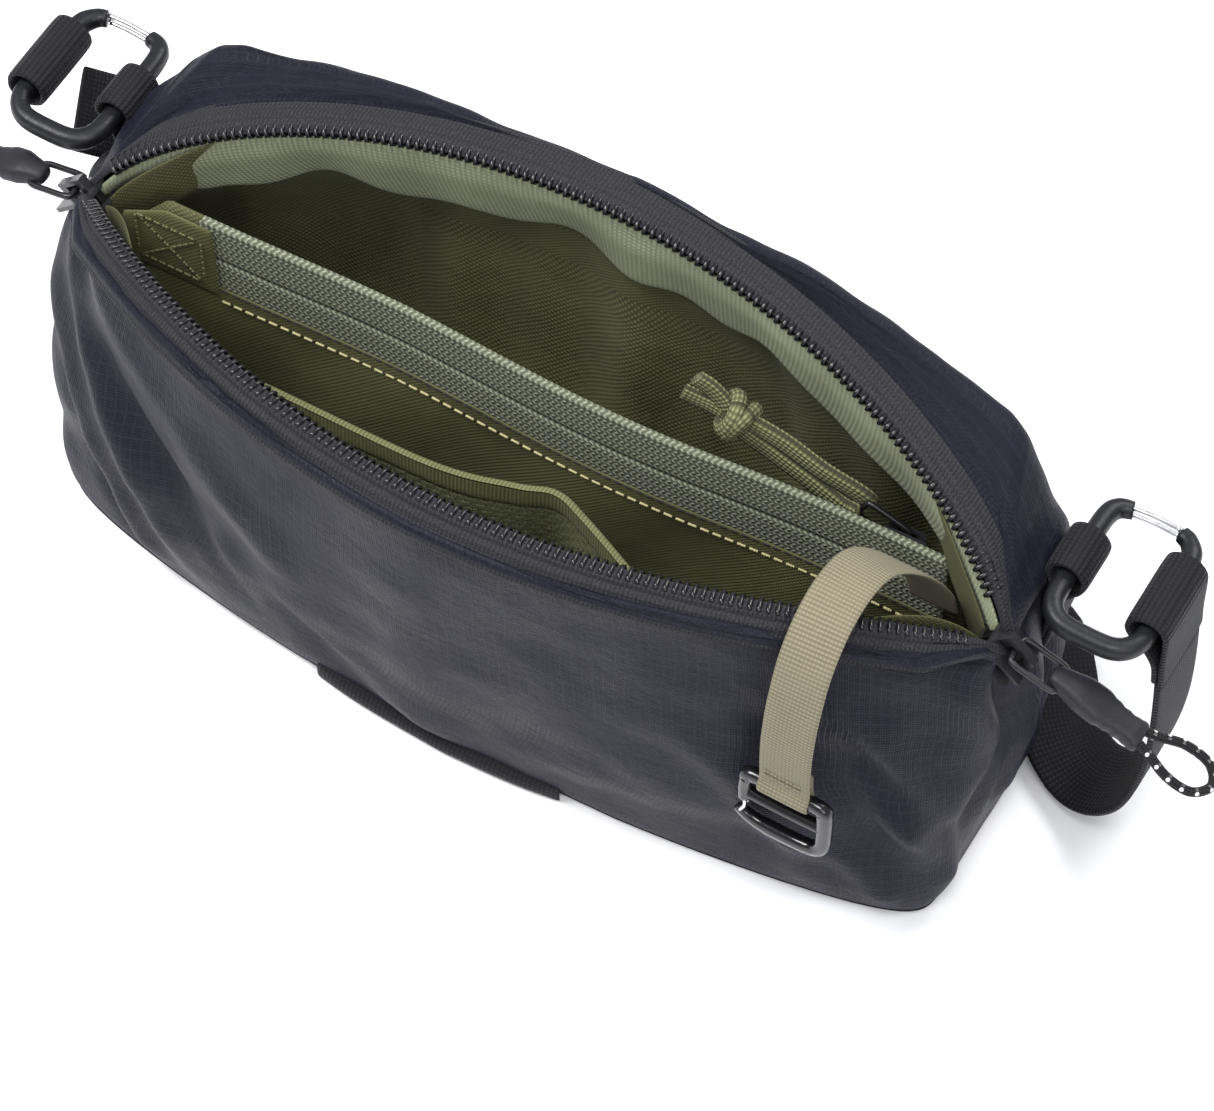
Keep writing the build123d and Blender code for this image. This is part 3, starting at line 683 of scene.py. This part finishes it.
def fold_height(place, z, loop):
    """How far the cloth stands out there: the listed folds and a soft unevenness."""
    total = np.zeros_like(z)
    for p0, z0, p1, z1, wide, tall in FOLDS:
        d = np.array([p1 - p0, z1 - z0], float)
        for turn in (-loop, 0, loop):
            qx, qz = place + turn - p0, z - z0
            t = (qx * d[0] + qz * d[1]) / (d @ d)
            bend = 5 * np.sin(np.pi * np.clip(t, 0, 1))
            n = (qx * d[1] - qz * d[0]) / np.linalg.norm(d) + bend
            ends = 1 / (1 + np.exp(-(t + 0.02) * 14)) / (1 + np.exp((t - 1.02) * 14))
            total += FOLD_SCALE * tall * np.exp(-(n / wide) ** 2) * ends
    for k, (a, b, size) in enumerate(UNEVEN):
        wobble = 1.7 * np.sin(0.031 * z + 2.1 * k)
        total += size * np.sin(a * place + b * z + 1.3 * k + wobble) * np.cos(0.6 * b * place - a * z + k)
    return total


def station_lips():
    """The outer edge of the tape where each station's column of cloth ends."""
    # the ends' columns fan out from the mouth's corners
    quarter = np.interp(np.linspace(0, 1, STATIONS + 1), [0, 0.198, 0.25, 0.302, 0.5, 0.698, 0.75, 0.802, 1],
                        [0, 0.222, 0.25, 0.278, 0.5, 0.722, 0.75, 0.778, 1])
    kernel = np.hanning(13)
    wrapped = np.concatenate([quarter[-13:-1] - 1, quarter, quarter[1:13] + 1])
    quarter = np.convolve(wrapped, kernel / kernel.sum(), "same")[12:-12]
    x = HALF * np.sin(quarter * 2 * np.pi)
    in_front = np.cos(quarter * 2 * np.pi) > 0
    fine = lip_places(1401)
    front, back = (read_at(x, fine, tape_edge(side, lip_at(side, fine), 7.0 * corner_taper(fine))[0])
                   for side in ("front", "back"))
    lips = np.where(in_front[:, None], front, back)
    at_corner = (np.abs(quarter - 0.25) < 0.004) | (np.abs(quarter - 0.75) < 0.004)
    lips[at_corner, 1] = -3
    return lips


def stand_out(grid):
    """The grid with its folds stood out along the surface's own normals."""
    loop = float(arc_lengths(outline(60, 0, STATIONS))[-1])
    place = np.linspace(0, loop, STATIONS + 1)
    place = np.where(place > loop / 2, place - loop, place)
    du = np.gradient(grid, axis=1)
    dv = np.gradient(grid, axis=0)
    du[:, 0] = du[:, -1] = grid[:, 1] - grid[:, -2]
    normal = np.cross(du, dv)
    normal /= np.maximum(np.linalg.norm(normal, axis=2), 1e-9)[..., None]
    outward = grid - np.array([0, 0, 60])
    normal *= np.sign((normal * outward).sum(2))[..., None]
    z = grid[..., 2]
    # no folds at the bottom edge and beside the zip
    share = np.arange(len(grid)) / (len(grid) - 1)
    calm = ease(np.clip(share / 0.10, 0, 1) * np.clip((0.93 - share) / 0.22, 0, 1))[:, None]
    return grid + normal * (fold_height(np.broadcast_to(place, z.shape), z, loop) * calm)[..., None]


LEVEL_TO, WALL_TOP, SHOULDER = 40, 80, 14


def shell_grid():
    """The whole outer cloth: rows from the bottom edge to the zip, columns all round."""
    top_line = outline(100, 0.2, STATIONS)
    height = top_height(top_line[:, 0], top_line[:, 1])
    lips = station_lips()
    rows = []
    # the wall, whose rows are level at first and end a shoulder's height below the top
    for z in np.concatenate([[0.8, 2.2, 5], np.linspace(9, WALL_TOP, 27)]):
        level = np.full(STATIONS + 1, z)
        if z > LEVEL_TO:
            level = LEVEL_TO + (z - LEVEL_TO) * (height - SHOULDER - LEVEL_TO) / (WALL_TOP - LEVEL_TO)
        rows.append(np.column_stack([outline(z, 0.2 if z > 3 else 1.0, STATIONS), level]))
    # the rounded shoulder
    wall = rows[-1]
    shoulder = np.column_stack([top_line, height])
    inward = lips[:, :2] - top_line
    dist = np.linalg.norm(inward, axis=1)[:, None]
    way = inward / np.maximum(dist, 1e-6)
    turn = np.minimum(9.0, 0.75 * dist)
    land = np.column_stack([top_line + way * turn, height])
    land[:, 2:] += (lips[:, 2:] - height[:, None]) * (turn / np.maximum(dist, 1e-6))
    for t in np.linspace(0, 1, 9)[1:]:
        rows.append((1 - t) ** 2 * wall + 2 * t * (1 - t) * shoulder + t * t * land)
    # from the shoulder in to the lip
    crown = 1.5 * np.clip(dist / 20, 0, 1)
    for t in np.linspace(0, 1, 11)[1:]:
        p = land + (lips - land) * t
        p[:, 2:] += crown * np.sin(np.pi * t) + 0.9 * t ** 6
        rows.append(p)
    # the cloth's folded edge, rolled under beside the tape
    last = rows[-1].copy()
    drop = np.column_stack([way * 1.0, np.full(STATIONS + 1, -0.5)])
    rows.append(last + drop * 0.8)
    rows.append(last + drop * 0.9 + [0, 0, -1.0])
    rows.append(last + np.column_stack([-way * 1.2, np.full(STATIONS + 1, -1.9)]))
    return stand_out(np.array(rows))


def base_rows(edge):
    """The bottom cloth: rings from the shell's bottom edge in to the middle, slightly uneven."""
    middle = np.array([0, 0, edge[:, 2].mean()])
    rings = [edge + (middle - edge) * [1, 1, 0] * t for t in np.linspace(0, 0.97, 14)[1:]]
    return [edge] + [np.column_stack([r[:, :2], 0.8 + 0.25 * np.sin(r[:, 0] * 0.11) * np.cos(r[:, 1] * 0.13)])
                     for r in rings]


grid = shell_grid()
seam = int(round(0.687 * STATIONS))
wrapped = np.concatenate([grid[:, seam:], grid[:, 1:seam + 1]], 1)
shell = sheet_piece("shell", wrapped, "shell", 1.1, subdivide=1)
finish_piece(shell, ROOT, ("front_panel", "back_panel", "left_end_panel", "right_end_panel"))
base = sheet_piece("shell_base", base_rows(grid[0]), "shell")
finish_piece(base, ROOT, ("base_panel",))

# black binding under the front's lower edge
x = np.linspace(-36, 30, 45)
low = outline(1.5, 0, 1200)
low = low[low[:, 1] < 0]
low = low[np.argsort(low[:, 0])]
y = np.interp(x, low[:, 0], low[:, 1])
fall = np.clip(1 - (np.abs(x + 3) / 34) ** 4, 0.1, 1)
BINDING_SECTION = [(0.6, 6.0), (-1.2, 5.6), (-1.9, 4.2), (-2.1, 2.6), (-1.7, 1.2), (0.6, 0.6)]
rows = [np.column_stack([x, y + a * fall, b + 0 * x]) for a, b in BINDING_SECTION]
binding = sheet_piece("base_binding", rows, "webbing", 0.8, subdivide=1)
finish_piece(binding, ROOT, ("base_binding",))


# ------------------------------------------------------------------ lining and facing bands
LINING_INSET = 5.5
LINING_WAVES = ((1.7, 0.145, 0.6), (1.2, 0.083, 2.0), (0.8, 0.31, 1.0))


def lining_grid(side):
    """Half the lining, from a lip down the wall and over the floor to the middle, with soft waves."""
    x = lip_places(200, 0.97)
    lip = lip_at(side, x)
    sign = -1 if side == "front" else 1

    def wall(z):
        ring = outline(z, LINING_INSET, 1200)
        pick = ring[ring[:, 1] * sign > 0]
        # by how far round the side a point is, so that the ends take a share too
        order = np.argsort(np.arctan2(pick[:, 1] * sign, pick[:, 0]))[::-1]
        pick = pick[order]
        d = arc_lengths(pick)
        return read_at((x / HALF * 0.5 + 0.5) * d[-1], d, pick)

    rows = [lip + [0, 0, -1.2]]
    out = lip_frame(side, lip)[1]
    away = np.clip((HALF - np.abs(x)) / 30, 0, 1)[:, None]
    for drop in (6, 12, 18):
        rows.append(lip + [0, 0, -drop] + out * (0.16 * drop) * away)
    for z in (86, 80, 70, 60, 48, 36, 24, 14, 8):
        top = rows[3]
        share = np.clip((top[:, 2] - z) / 42, 0, 1)[:, None]
        share = share * (2 - share)
        xy = top[:, :2] + (wall(z) - top[:, :2]) * share
        rows.append(np.column_stack([xy, np.minimum(z, top[:, 2] - 1.0 - (86 - z) * 0.1)]))
    last = rows[-1]
    for t in (0.25, 0.6, 1.0):
        xy = last[:, :2] * (1 - t) + np.column_stack([last[:, 0] * 0.96, 0 * x]) * t
        rows.append(np.column_stack([xy, np.full(len(x), 4.2)]))
    g = np.array(rows)
    depth = np.arange(len(g))[:, None] / len(g)
    waves = 0.8 + sum(size * np.sin(x * turn + shift) for size, turn, shift in LINING_WAVES)
    waves = waves * np.interp(depth, [0, 0.15, 0.4, 0.75, 1], [0, 0.25, 1.3, 1.0, 0])
    calm = np.clip((HALF - np.abs(x)) / 30, 0, 1)
    g[..., 1] -= sign * np.maximum(waves * calm, -0.6)
    # the ends draw in, clear of the shell's pinched corners
    near_end = ease(np.clip((np.abs(g[..., 0]) - 84) / 30, 0, 1))
    g[..., 0] *= 1 - 0.035 * near_end
    g[..., 1] = -3 + (g[..., 1] + 3) * (1 - (0.42 if side == "front" else 0.2) * near_end)
    return g


def facing_rows(side):
    """The band of grosgrain inside a lip, which sways a little."""
    x = lip_places(161, 0.88)
    lip = lip_at(side, x)
    out = lip_frame(side, lip)[1]
    sway = 1 + 0.12 * np.sin(x * 0.11) + 0.1 * np.sin(x * 0.23 + 1)
    tall = (19 if side == "back" else 17) * sway * np.clip((HALF - np.abs(x)) / 24, 0.45, 1)
    wave = 0.7 * np.sin(x * 0.13 + 0.5) + 0.4 * np.sin(x * 0.29) + 0.5 * np.sin(x * 0.19 + 0.4)
    rows = []
    for share in np.linspace(0, 1, 9):
        drop = (1.0 + share * tall)[:, None]
        inward = 1.2 + (1.4 + wave[:, None] * share) * min(1, 3 * share)
        rows.append(lip - out * inward + out * 0.16 * drop - [0, 0, 1] * drop)
    return rows


for side in ("front", "back"):
    o = sheet_piece(f"lining_{side}", lining_grid(side), "lining", 0.5, flip=(side == "front"), subdivide=1)
    finish_piece(o, ROOT, (f"{side}_lining",))
    o = sheet_piece(f"facing_{side}", facing_rows(side), "facing", 0.9, flip=(side == "back"), subdivide=1)
    finish_piece(o, ROOT, (f"facing_band_{side}",))


# ------------------------------------------------------------------ divider and its zip
TURN = math.radians(3.3)
ACROSS = np.array([math.cos(TURN), math.sin(TURN), 0])
FORWARD = np.array([math.sin(TURN), -math.cos(TURN), 0])
SLOPE = math.tan(math.radians(3.0))


def on_divider(x, z, forward):
    """Points of the divider: place along it, height, and how far in front of its plane."""
    x, z, forward = np.broadcast_arrays(x, z, forward)
    sag = 1.4 * np.sin(x * 0.045 + 0.7) * np.clip((96 - np.abs(x)) / 60, 0, 1) * np.clip(z / 70, 0, 1)
    f = forward + sag
    return (np.array([0, 4.0, 0]) + x[..., None] * ACROSS + f[..., None] * FORWARD
            + z[..., None] * np.array([0, 0, 1.0]))


def zip_top(x):
    """The height of the divider's zip along it, which falls to the right and sags."""
    return 97.0 - (x + 88) * SLOPE - 1.3 * np.sin(np.clip((x + 88) / 186, 0, 1) * np.pi)


def divider_rows(x0, x1, high, low, forward, rows, cols=121, wave=0.0):
    """A layer of the divider between two heights, which are given as functions of the place along it."""
    x = np.linspace(x0, x1, cols)
    out = []
    for share in np.linspace(0, 1, rows):
        z = high(x) * (1 - share) + low(x) * share
        out.append(on_divider(x, z, forward + wave * np.sin(x * 0.12 + share * 2.2) * np.sin(np.pi * share)))
    return np.array(out)


def above_floor(x):
    """The height of the divider's lower edge."""
    return 6 + 0 * x


def below_zip(drop, corner=0.0, until=109):
    """The height that far below the zip's top, lower by corner at the ends of the layer."""
    return lambda x: zip_top(x) - drop - corner * (1 - np.clip((until - np.abs(x)) / 12, 0, 1))


rows = divider_rows(-103, 103, below_zip(1.5, 16), above_floor, -1.0, 14, wave=0.5)
o = sheet_piece("divider_back", rows, "lining", 0.7, flip=True)
finish_piece(o, ROOT, ("divider_back_layer",))
rows = divider_rows(-104, 103, below_zip(22.6), above_floor, 1.6, 14, wave=1.1)
o = sheet_piece("divider_front", rows, "panel", 0.7, flip=True, subdivide=1)
finish_piece(o, ROOT, ("divider_front_layer",))
for part, high, low, front in (("upper", 0.0, 12.1, 1.3), ("lower", 12.7, 24.6, 1.25)):
    rows = divider_rows(-88, 98, below_zip(high), below_zip(low), front, 7, 141)
    o = sheet_piece(f"divider_tape_{part}", rows, "knit", 1.3, flip=True, subdivide=1)
    finish_piece(o, ROOT, (f"divider_zip_tape_{part}",))
x = np.linspace(-87, 97, 140)
line = on_divider(x, zip_top(x) + 0.2, 0.4)
rim = sweep_piece("divider_rim", line, ring_of(2.2, 1.7, 8), (0, 1, 0), "knit")
finish_piece(rim, ROOT)
bits = []
for a in np.arange(-86, 97, 1.9):
    place = a + np.array([-0.3, -0.1, 0.15, 0.3, 0.45])
    height = zip_top(a) - 12.4 + np.array([-1.6, -0.6, 0.2, 0.9, 1.8])
    bits.append(rod(on_divider(place, height, -2.4), 0.55, (0, 1, 0)))
finish_piece(many("divider_coil", bits, "coil"), ROOT)
x = np.linspace(-84, 97, 200)
stitches("divider_stitch", on_divider(x, zip_top(x) - 27.2, 1.9), "thread", 3.0, 2.1, 0.3)
stitches("zip_stitch_low", on_divider(x, zip_top(x) - 23.4, 1.6), "dark_thread", 2.6, 1.9, 0.22)
rows = divider_rows(-108, -84, below_zip(0.6, 8, 108), below_zip(26), 2.3, 8, 17, 0.2)
o = sheet_piece("divider_tab", rows, "panel", 1.0, flip=True, subdivide=1)
finish_piece(o, ROOT, ("divider_zip_tab",))
for k, (x0, z0, x1, z1) in enumerate(((-104, 20, -87, 20), (-104, 4.5, -87, 4.5), (-103.5, 20, -87.5, 4.5),
                                      (-103.5, 4.5, -87.5, 20), (-104, 20, -104, 4.5), (-87, 20, -87, 4.5))):
    q = np.linspace(0, 1, 12)
    x = x0 + (x1 - x0) * q
    line = on_divider(x, zip_top(x) - 26 + z0 + (z1 - z0) * q, 2.65)
    stitches(f"tab_stitch_{k}", line, "elastic", 2.2, 1.7, 0.3)

# ------------------------------------------------------------------ mesh pocket
POCKET = [(-74, -31.5, 86), (-60, -27.5, 88), (-14, -25.5, 87), (6, -21, 87), (15, -18, 87),
          (24, -20.5, 86.5), (44, -29, 86), (61, -36, 85)]
top = smooth_line(POCKET, 150)
low_line = top * [1, 1, 0] + np.array([0, -4.0, 0]) * np.clip(1 - (np.abs(top[:, :1] + 10) / 76) ** 2, 0, 1)


def pocket_at(share, drop):
    """Points of the pocket's wall: place along it from 0 to 1, and how far below its top."""
    i = share * (len(top) - 1)
    a, b = (read_at(i, np.arange(len(top)), line) for line in (top, low_line))
    f = (drop / 66)[..., None]
    p = a * (1 - f) + b * f
    p[..., 2] = a[..., 2] - drop
    p[..., 1] += 1.3 * np.sin(share * 21) * np.clip(drop / 30, 0, 1)
    return p


def net_mesh(long, cell=3.5, first=6.5, rows=33):
    """A net of six-sided holes below the pocket's top: corners as place and drop, and faces."""
    points, faces, index = [], [], {}

    def corner(u, v):
        key = (round(u, 3), round(v, 3))
        if key not in index:
            index[key] = len(points)
            points.append(key)
        return index[key]

    w, h = cell / 2, cell / 6
    for r in range(rows):
        for c in range(int(long / cell)):
            u = (c + 0.5 * (r % 2)) * cell + 0.3
            v = first + r * cell * 0.5
            if u + cell <= long:
                faces.append((corner(u, v + h), corner(u + w, v), corner(u + 2 * w, v + h),
                              corner(u + 2 * w, v + 2 * h), corner(u + w, v + 3 * h), corner(u, v + 2 * h)))
    return np.array(points), faces


long = arc_lengths(top)[-1]
flat, faces = net_mesh(long)
net = mesh_piece("pocket_net", pocket_at(np.clip(flat[:, 0] / long, 0, 1), flat[:, 1]), faces, "net", flat)
m = net.modifiers.new("strands", "WIREFRAME")
m.thickness, m.use_even_offset = 0.0012, False
m.use_boundary, m.use_replace = True, True
finish_piece(net, ROOT, ("mesh_pocket",))

# the elastic band: how far below the top, and how far it stands out there
BAND_SECTION = [(0.3, -0.9), (0.0, 0.2), (0.6, 1.0), (1.6, 0.7), (2.2, 1.1), (3.1, 0.7), (4.2, 0.75),
                (6.0, 0.7), (7.6, 0.8), (7.6, -0.8), (4, -0.8), (0.8, -0.8)]
tangent = unit(np.gradient(top, axis=0))
face_way = np.stack([-tangent[:, 1], tangent[:, 0], 0 * tangent[:, 0]], 1)


def over_band(drop, proud):
    """A line along the pocket, that far below its top and proud of its wall."""
    return pocket_at(np.linspace(0, 1, len(top)), np.full(len(top), drop)) + face_way * proud


o = sheet_piece("pocket_band", [over_band(*at) for at in BAND_SECTION], "elastic", subdivide=1)
finish_piece(o, ROOT, ("pocket_binding",))
stitches("pocket_stitch", over_band(5.2, 1.0), "thread", 2.8, 2.0, 0.24)

# ------------------------------------------------------------------ key ribbon and hook
ribbon_line = smooth_line([(97, 5, 76), (96, 2.5, 87), (92.5, -3, 99), (89, -11, 108.5), (88, -20, 112.5),
                           (88, -30, 112), (88.5, -39, 106.5), (89, -44.6, 96), (89, -46.6, 84),
                           (89, -46.8, 74), (89, -46.5, 66), (89, -47.2, 63.5), (89, -47.6, 62),
                           (89, -46.9, 60.4), (89, -45.6, 59.9), (89, -44.2, 60.6), (89, -43.7, 62),
                           (89, -44.2, 64), (89, -45.0, 68), (89, -45.4, 74)], 170)
ribbon = sweep_piece("ribbon", ribbon_line, ring_of(12.5, 0.9, 14, 5.0), (1, 0, 0), "ribbon")
finish_piece(ribbon, ROOT, ("key_ribbon",))
x = np.linspace(83.5, 94.5, 20)
for k, z in enumerate((68.6, 70.2)):
    stitches(f"ribbon_stitch_{k}", np.column_stack([x, -47.25 + 0 * x, z + 0 * x]), "ribbon", 1.9, 1.4, 0.26)


def on_hook(points, forward=0.0):
    """Points of the key hook from its own place across and up, about its bar."""
    return np.array([(89 + a, -45.6 - forward, 62 + b) for a, b in points])


frame_line = smooth_line(on_hook([(-9.4, -1), (-8.6, 0.6), (0, 1.0), (8.6, 0.6), (9.7, -1.5), (9.9, -9),
                                  (9.4, -15.5), (6.2, -18.3), (-4, -18.8), (-9, -17.6),
                                  (-11.3, -15.8)]), 90)
sizes = np.ones((90, 2))
sizes[-14:] *= np.linspace(1, 0.72, 14)[:, None]
hook = sweep_piece("hook", frame_line, ring_of(3.2, 3.6, 12, 3.2), (0, 1, 0), "gloss", sizes=sizes[:, ::-1])
finish_piece(hook, "key_clip", ("key_hook",))
bits = [rod(smooth_line(on_hook(bar), count), radius, (0, 1, 0), 10) for bar, count, radius in (
    ([(-9.6, -1), (-9.9, -5), (-9.8, -9.6)], 16, 1.7), ([(-9.8, -7.4), (0, -7.7), (9.8, -7.4)], 16, 1.55),
    ([(-9, 0), (9, 0)], 8, 1.35))]
finish_piece(many("hook_bars", bits, "gloss"), "key_clip")
bits = [rod(smooth_line(on_hook([(-9.6, -9.8), (-9.5, -13), (-10.6, -15.9)], f), 14), 0.45, (0, 1, 0), 8)
        for f in (-0.75, 0.75)]
finish_piece(many("hook_gate", bits, "steel"), "key_gate", ("key_hook_gate",))


# ------------------------------------------------------------------ end fittings
RING_AT = (122.5, 21, 93)
RING = [(4.8, 16.9), (1.9, 15.9), (0.3, 13.0), (0, 6), (0, -6), (0.6, -12.5), (4, -16.2), (10.7, -16.9),
        (17.4, -16.2), (20.9, -12.5), (21.4, -6), (21.4, 6), (21.1, 12.2), (18.9, 15.6), (16.6, 16.7)]
GATE = [(3.9, 16.6), (10.7, 17.1), (16.0, 16.9)]
NOSE = [(0, -1.3), (0.7, -0.8), (0.9, 0), (0.7, 0.8), (0, 1.3)]
TAB = [(118.2, 56), (120.2, 66), (121.6, 76), (122.6, 84), (126.0, 89.6), (127.0, 93.4), (125.4, 96.6),
       (122.4, 97.8), (119.3, 96.4), (118.1, 93), (119.2, 89.4), (121.0, 84), (120.4, 76), (119.0, 66),
       (117.4, 57)]
OUTER_BAR = 143.9
BAIL = [(0, -2.4), (0, 2.4), (1.2, 3.4), (6, 3.5), (10.4, 3.4), (11.5, 2.4), (11.5, -2.4), (10.4, -3.4),
        (6, -3.5), (1.2, -3.4)]
TOP_PIVOT = (120.79, -3, 87.79)
INNER_PIVOT = (83.4, 16.87, 75.49)
# the grip starts on the bail, and its own length is counted from just inside the bail's far end
GRIP_START, GRIP_FROM = 8.8, 11.1
# for each end: which way it faces, its strap loop's tail, the pull's droop at rest in degrees, how long its
# grip is, and its cord loop from the grip's tip
ENDS = {
    "left": (-1, (2.6, -8.6), 12, 17.0, [
        (0, -0.9), (3, -1.9), (6.0, -1.6), (7.2, 0), (6.0, 1.6), (3, 1.9), (0, 0.9)]),
    "right": (1, (4.4, -17), 18, 22.0, [
        (0, -1.5), (4, -2.6, 0.2), (10, -4.8, 0.5), (16, -4.2, 0.2), (19.2, 0), (16.5, 4.2, -0.2), (10, 4.6),
        (4, 2.4), (0, 1.5)]),
}


def on_ring(sign, points, height=0.0):
    """Points of a carabiner: outwards from its inner bar, along the bar, and up."""
    return np.array([(sign * (RING_AT[0] + a), RING_AT[1] + b, RING_AT[2] + height) for a, b in points])


def carabiner(name, sign):
    """The open ring, thinner at both its ends, and the bent wire gate that closes it."""
    sizes = np.ones((130, 2))
    sizes[:9] = np.linspace(0.8, 1, 9)[:, None]
    sizes[-9:] = np.linspace(1, 0.8, 9)[:, None]
    line = smooth_line(on_ring(sign, RING), 130)
    o = sweep_piece(f"{name}_clip_ring", line, ring_of(5.0, 4.6, 14, 2.6), (0, 0, 1), "matte", sizes=sizes)
    finish_piece(o, f"{name}_clip", (f"{name}_carabiner",))
    bits = [rod(smooth_line(on_ring(sign, GATE, h), 18), 0.62, (0, 0, 1), 8) for h in (-1.3, 1.3)]
    a, b = GATE[-1]
    nose = np.vstack([on_ring(sign, [(a, b + past)], h) for past, h in NOSE])
    bits.append(rod(smooth_line(nose, 12), 0.62, (1, 0, 0), 8))
    o = many(f"{name}_clip_gate", bits, "steel")
    finish_piece(o, f"{name}_gate", (f"{name}_carabiner_gate",))


def webbing_tab(name, sign):
    """Webbing sewn to the bag's end, round the ring's inner bar."""
    line = smooth_line([(sign * a, RING_AT[1], b) for a, b in TAB], 120)
    o = sweep_piece(f"{name}_tab", line, ring_of(12.5, 1.5, 14, 5.0), (0, 1, 0), "webbing")
    finish_piece(o, ROOT, (f"{name}_webbing_tab",))


def strap_end(name, sign, tail):
    """The strap's sewn end, round the ring's outer bar."""
    out, down = tail
    route = [(out + 0.7, down), (out * 0.8 + 1.2, down * 0.6), (4.6, -2.2), (4.2, 1.6), (2.2, 4.1),
              (-0.8, 4.6), (-3.6, 3.0), (-4.6, 0), (-3.6, -3.0), (-1.0, -4.9),
              (out * 0.8 - 0.9, down * 0.62), (out - 0.9, down)]
    line = smooth_line([(sign * (OUTER_BAR + a), RING_AT[1], RING_AT[2] + b) for a, b in route], 110)
    o = sweep_piece(f"{name}_strap_loop", line, ring_of(20, 1.5, 16, 6.0), (0, 1, 0), "webbing")
    finish_piece(o, f"{name}_clip", (f"{name}_strap_end",))


def placer(pivot, ahead, aside, above):
    """A function that gives the point that far ahead of, beside and above a pull's pivot."""
    return lambda a, b, c=0.0: np.array(pivot) + ahead * a + aside * b + above * c


def bail(name, at, above, radius, body, node):
    """The bent wire that joins a pull to its slider."""
    wire = rod(smooth_line([at(a, b) for a, b in BAIL], 80, True), radius, above, 8, True)
    finish_piece(many(name, [wire], "slider"), body, (node,))


def top_pull(name, sign, droop, grip_long, cord):
    """A top slider's pull: bail, moulded grip and cord loop."""
    body = f"{name}_pull"
    fall = math.radians(droop)
    above = np.array([sign * math.sin(fall), 0, math.cos(fall)])
    at = placer((sign * TOP_PIVOT[0], *TOP_PIVOT[1:]), np.array([sign * math.cos(fall), 0, -math.sin(fall)]),
                np.array([0, 1, 0]), above)
    bail(f"{name}_bail", at, above, 0.78, body, f"{name}_pull_bail")
    length = GRIP_FROM + grip_long - GRIP_START
    t = np.linspace(0, 1, 40)
    line = np.array([at(GRIP_START + length * k, 0, 0.6 * math.sin(k * 5.0)) for k in t])
    half = np.interp(t, [0, 0.06, 0.2, 0.34, 0.52, 0.7, 0.86, 0.96, 1],
                     [1.9, 2.7, 3.4, 4.3, 4.5, 3.5, 3.3, 3.9, 3.2])
    half = half + 0.16 * np.sin(t * 60) * (np.abs(t - 0.75) < 0.17)
    deep = np.interp(t, [0, 0.06, 0.3, 0.6, 0.9, 1], [1.4, 2.3, 2.9, 2.5, 2.5, 1.9])
    o = sweep_piece(f"{name}_grip", line, ring_of(2, 2, 16, 2.8), (0, 1, 0), "rubber",
                    sizes=np.stack([half, deep], 1))
    m = o.modifiers.new("smooth", "SUBSURF")
    m.levels = m.render_levels = 1
    finish_piece(o, body, (f"{name}_pull_grip",))
    tip = GRIP_START + length - 1.5
    loop = smooth_line([at(tip + a, *rest) for a, *rest in cord], 90)
    o = many(f"{name}_loop", [rod(loop, 1.1, above, 12)], "fleck")
    finish_piece(o, body, (f"{name}_pull_loop",))


for name, (sign, tail, droop, grip_long, cord) in ENDS.items():
    carabiner(name, sign)
    webbing_tab(name, sign)
    strap_end(name, sign, tail)
    top_pull(name, sign, droop, grip_long, cord)


# ------------------------------------------------------------------ the divider's pull
def divider_pull():
    """A bail and a doubled flat braid with a knot and two loose ends, behind the divider."""
    rise = math.radians(24)
    ahead = np.array([-math.cos(TURN) * math.cos(rise), -math.sin(TURN) * math.cos(rise), math.sin(rise)])
    above = -FORWARD
    aside = np.cross(above, ahead)
    at = placer(INNER_PIVOT, ahead, aside, above)
    bail("inner_bail", at, above, 0.75, "inner_pull", "divider_pull_bail")
    bits = []
    for side in (-1, 1):
        route = [at(11.5, side * 1.0, side * 1.6), at(15, side * 2.8, side * 0.9), at(24, side * 3.2),
                 at(34, side * 3.1, 0.3), at(42, side * 2.4), at(46, side * 1.3)]
        bits.append(tube(smooth_line(route, 60), ring_of(6.2, 2.7, 12, 2.6), aside))
    for way, a, b in ((-1, 44.5, 0.0), (1, 47.6, 0.5)):
        ring = np.array([at(a + 1.1 * math.sin(q) * way, 4.6 * math.cos(q) + b, 3.3 * math.sin(q))
                         for q in np.linspace(0, 2 * np.pi, 40, endpoint=False)])
        bits.append(rod(ring, 2.0, ahead, 10, True))
    for side, spread in ((-1, 2.6), (1, 4.2)):
        route = [at(48, side * 1.0), at(51, side * spread * 0.6, 0.4), at(55, side * spread, 0.2),
                 at(58.6, side * spread * 1.15, -0.3)]
        bits.append(tube(smooth_line(route, 26), ring_of(5.4, 2.5, 12, 2.6), aside))
    finish_piece(many("inner_pull_braid", bits, "olive"), "inner_pull", ("divider_pull_cord",))


divider_pull()


# ------------------------------------------------------------------ CAD nodes that stay, with softened edges
for node in ("left_zip_slider", "right_zip_slider", "divider_zip_slider"):
    o = nodes[node]
    o.data.materials.clear()
    o.data.materials.append(M["slider"])
    m = o.modifiers.new("edges", "BEVEL")
    m.width, m.segments, m.limit_method = 0.0003, 2, "ANGLE"

# ------------------------------------------------------------------ floor
floor_shade = Shade("floor", 0.7, level=0.2)
cloud = floor_shade.noise(floor_shade.place(), 6, 2)
floor_shade.colour(floor_shade.blend(cloud, (0.86, 0.86, 0.87), (0.89, 0.89, 0.9)))
mesh = bpy.data.meshes.new("floor")
mesh.from_pydata([(-6, -6, 0), (6, -6, 0), (6, 6, 0), (-6, 6, 0)], [], [(0, 1, 2, 3)])
mesh.materials.append(floor_shade.mat)
floor = bpy.data.objects.new("floor", mesh)
scene.collection.objects.link(floor)
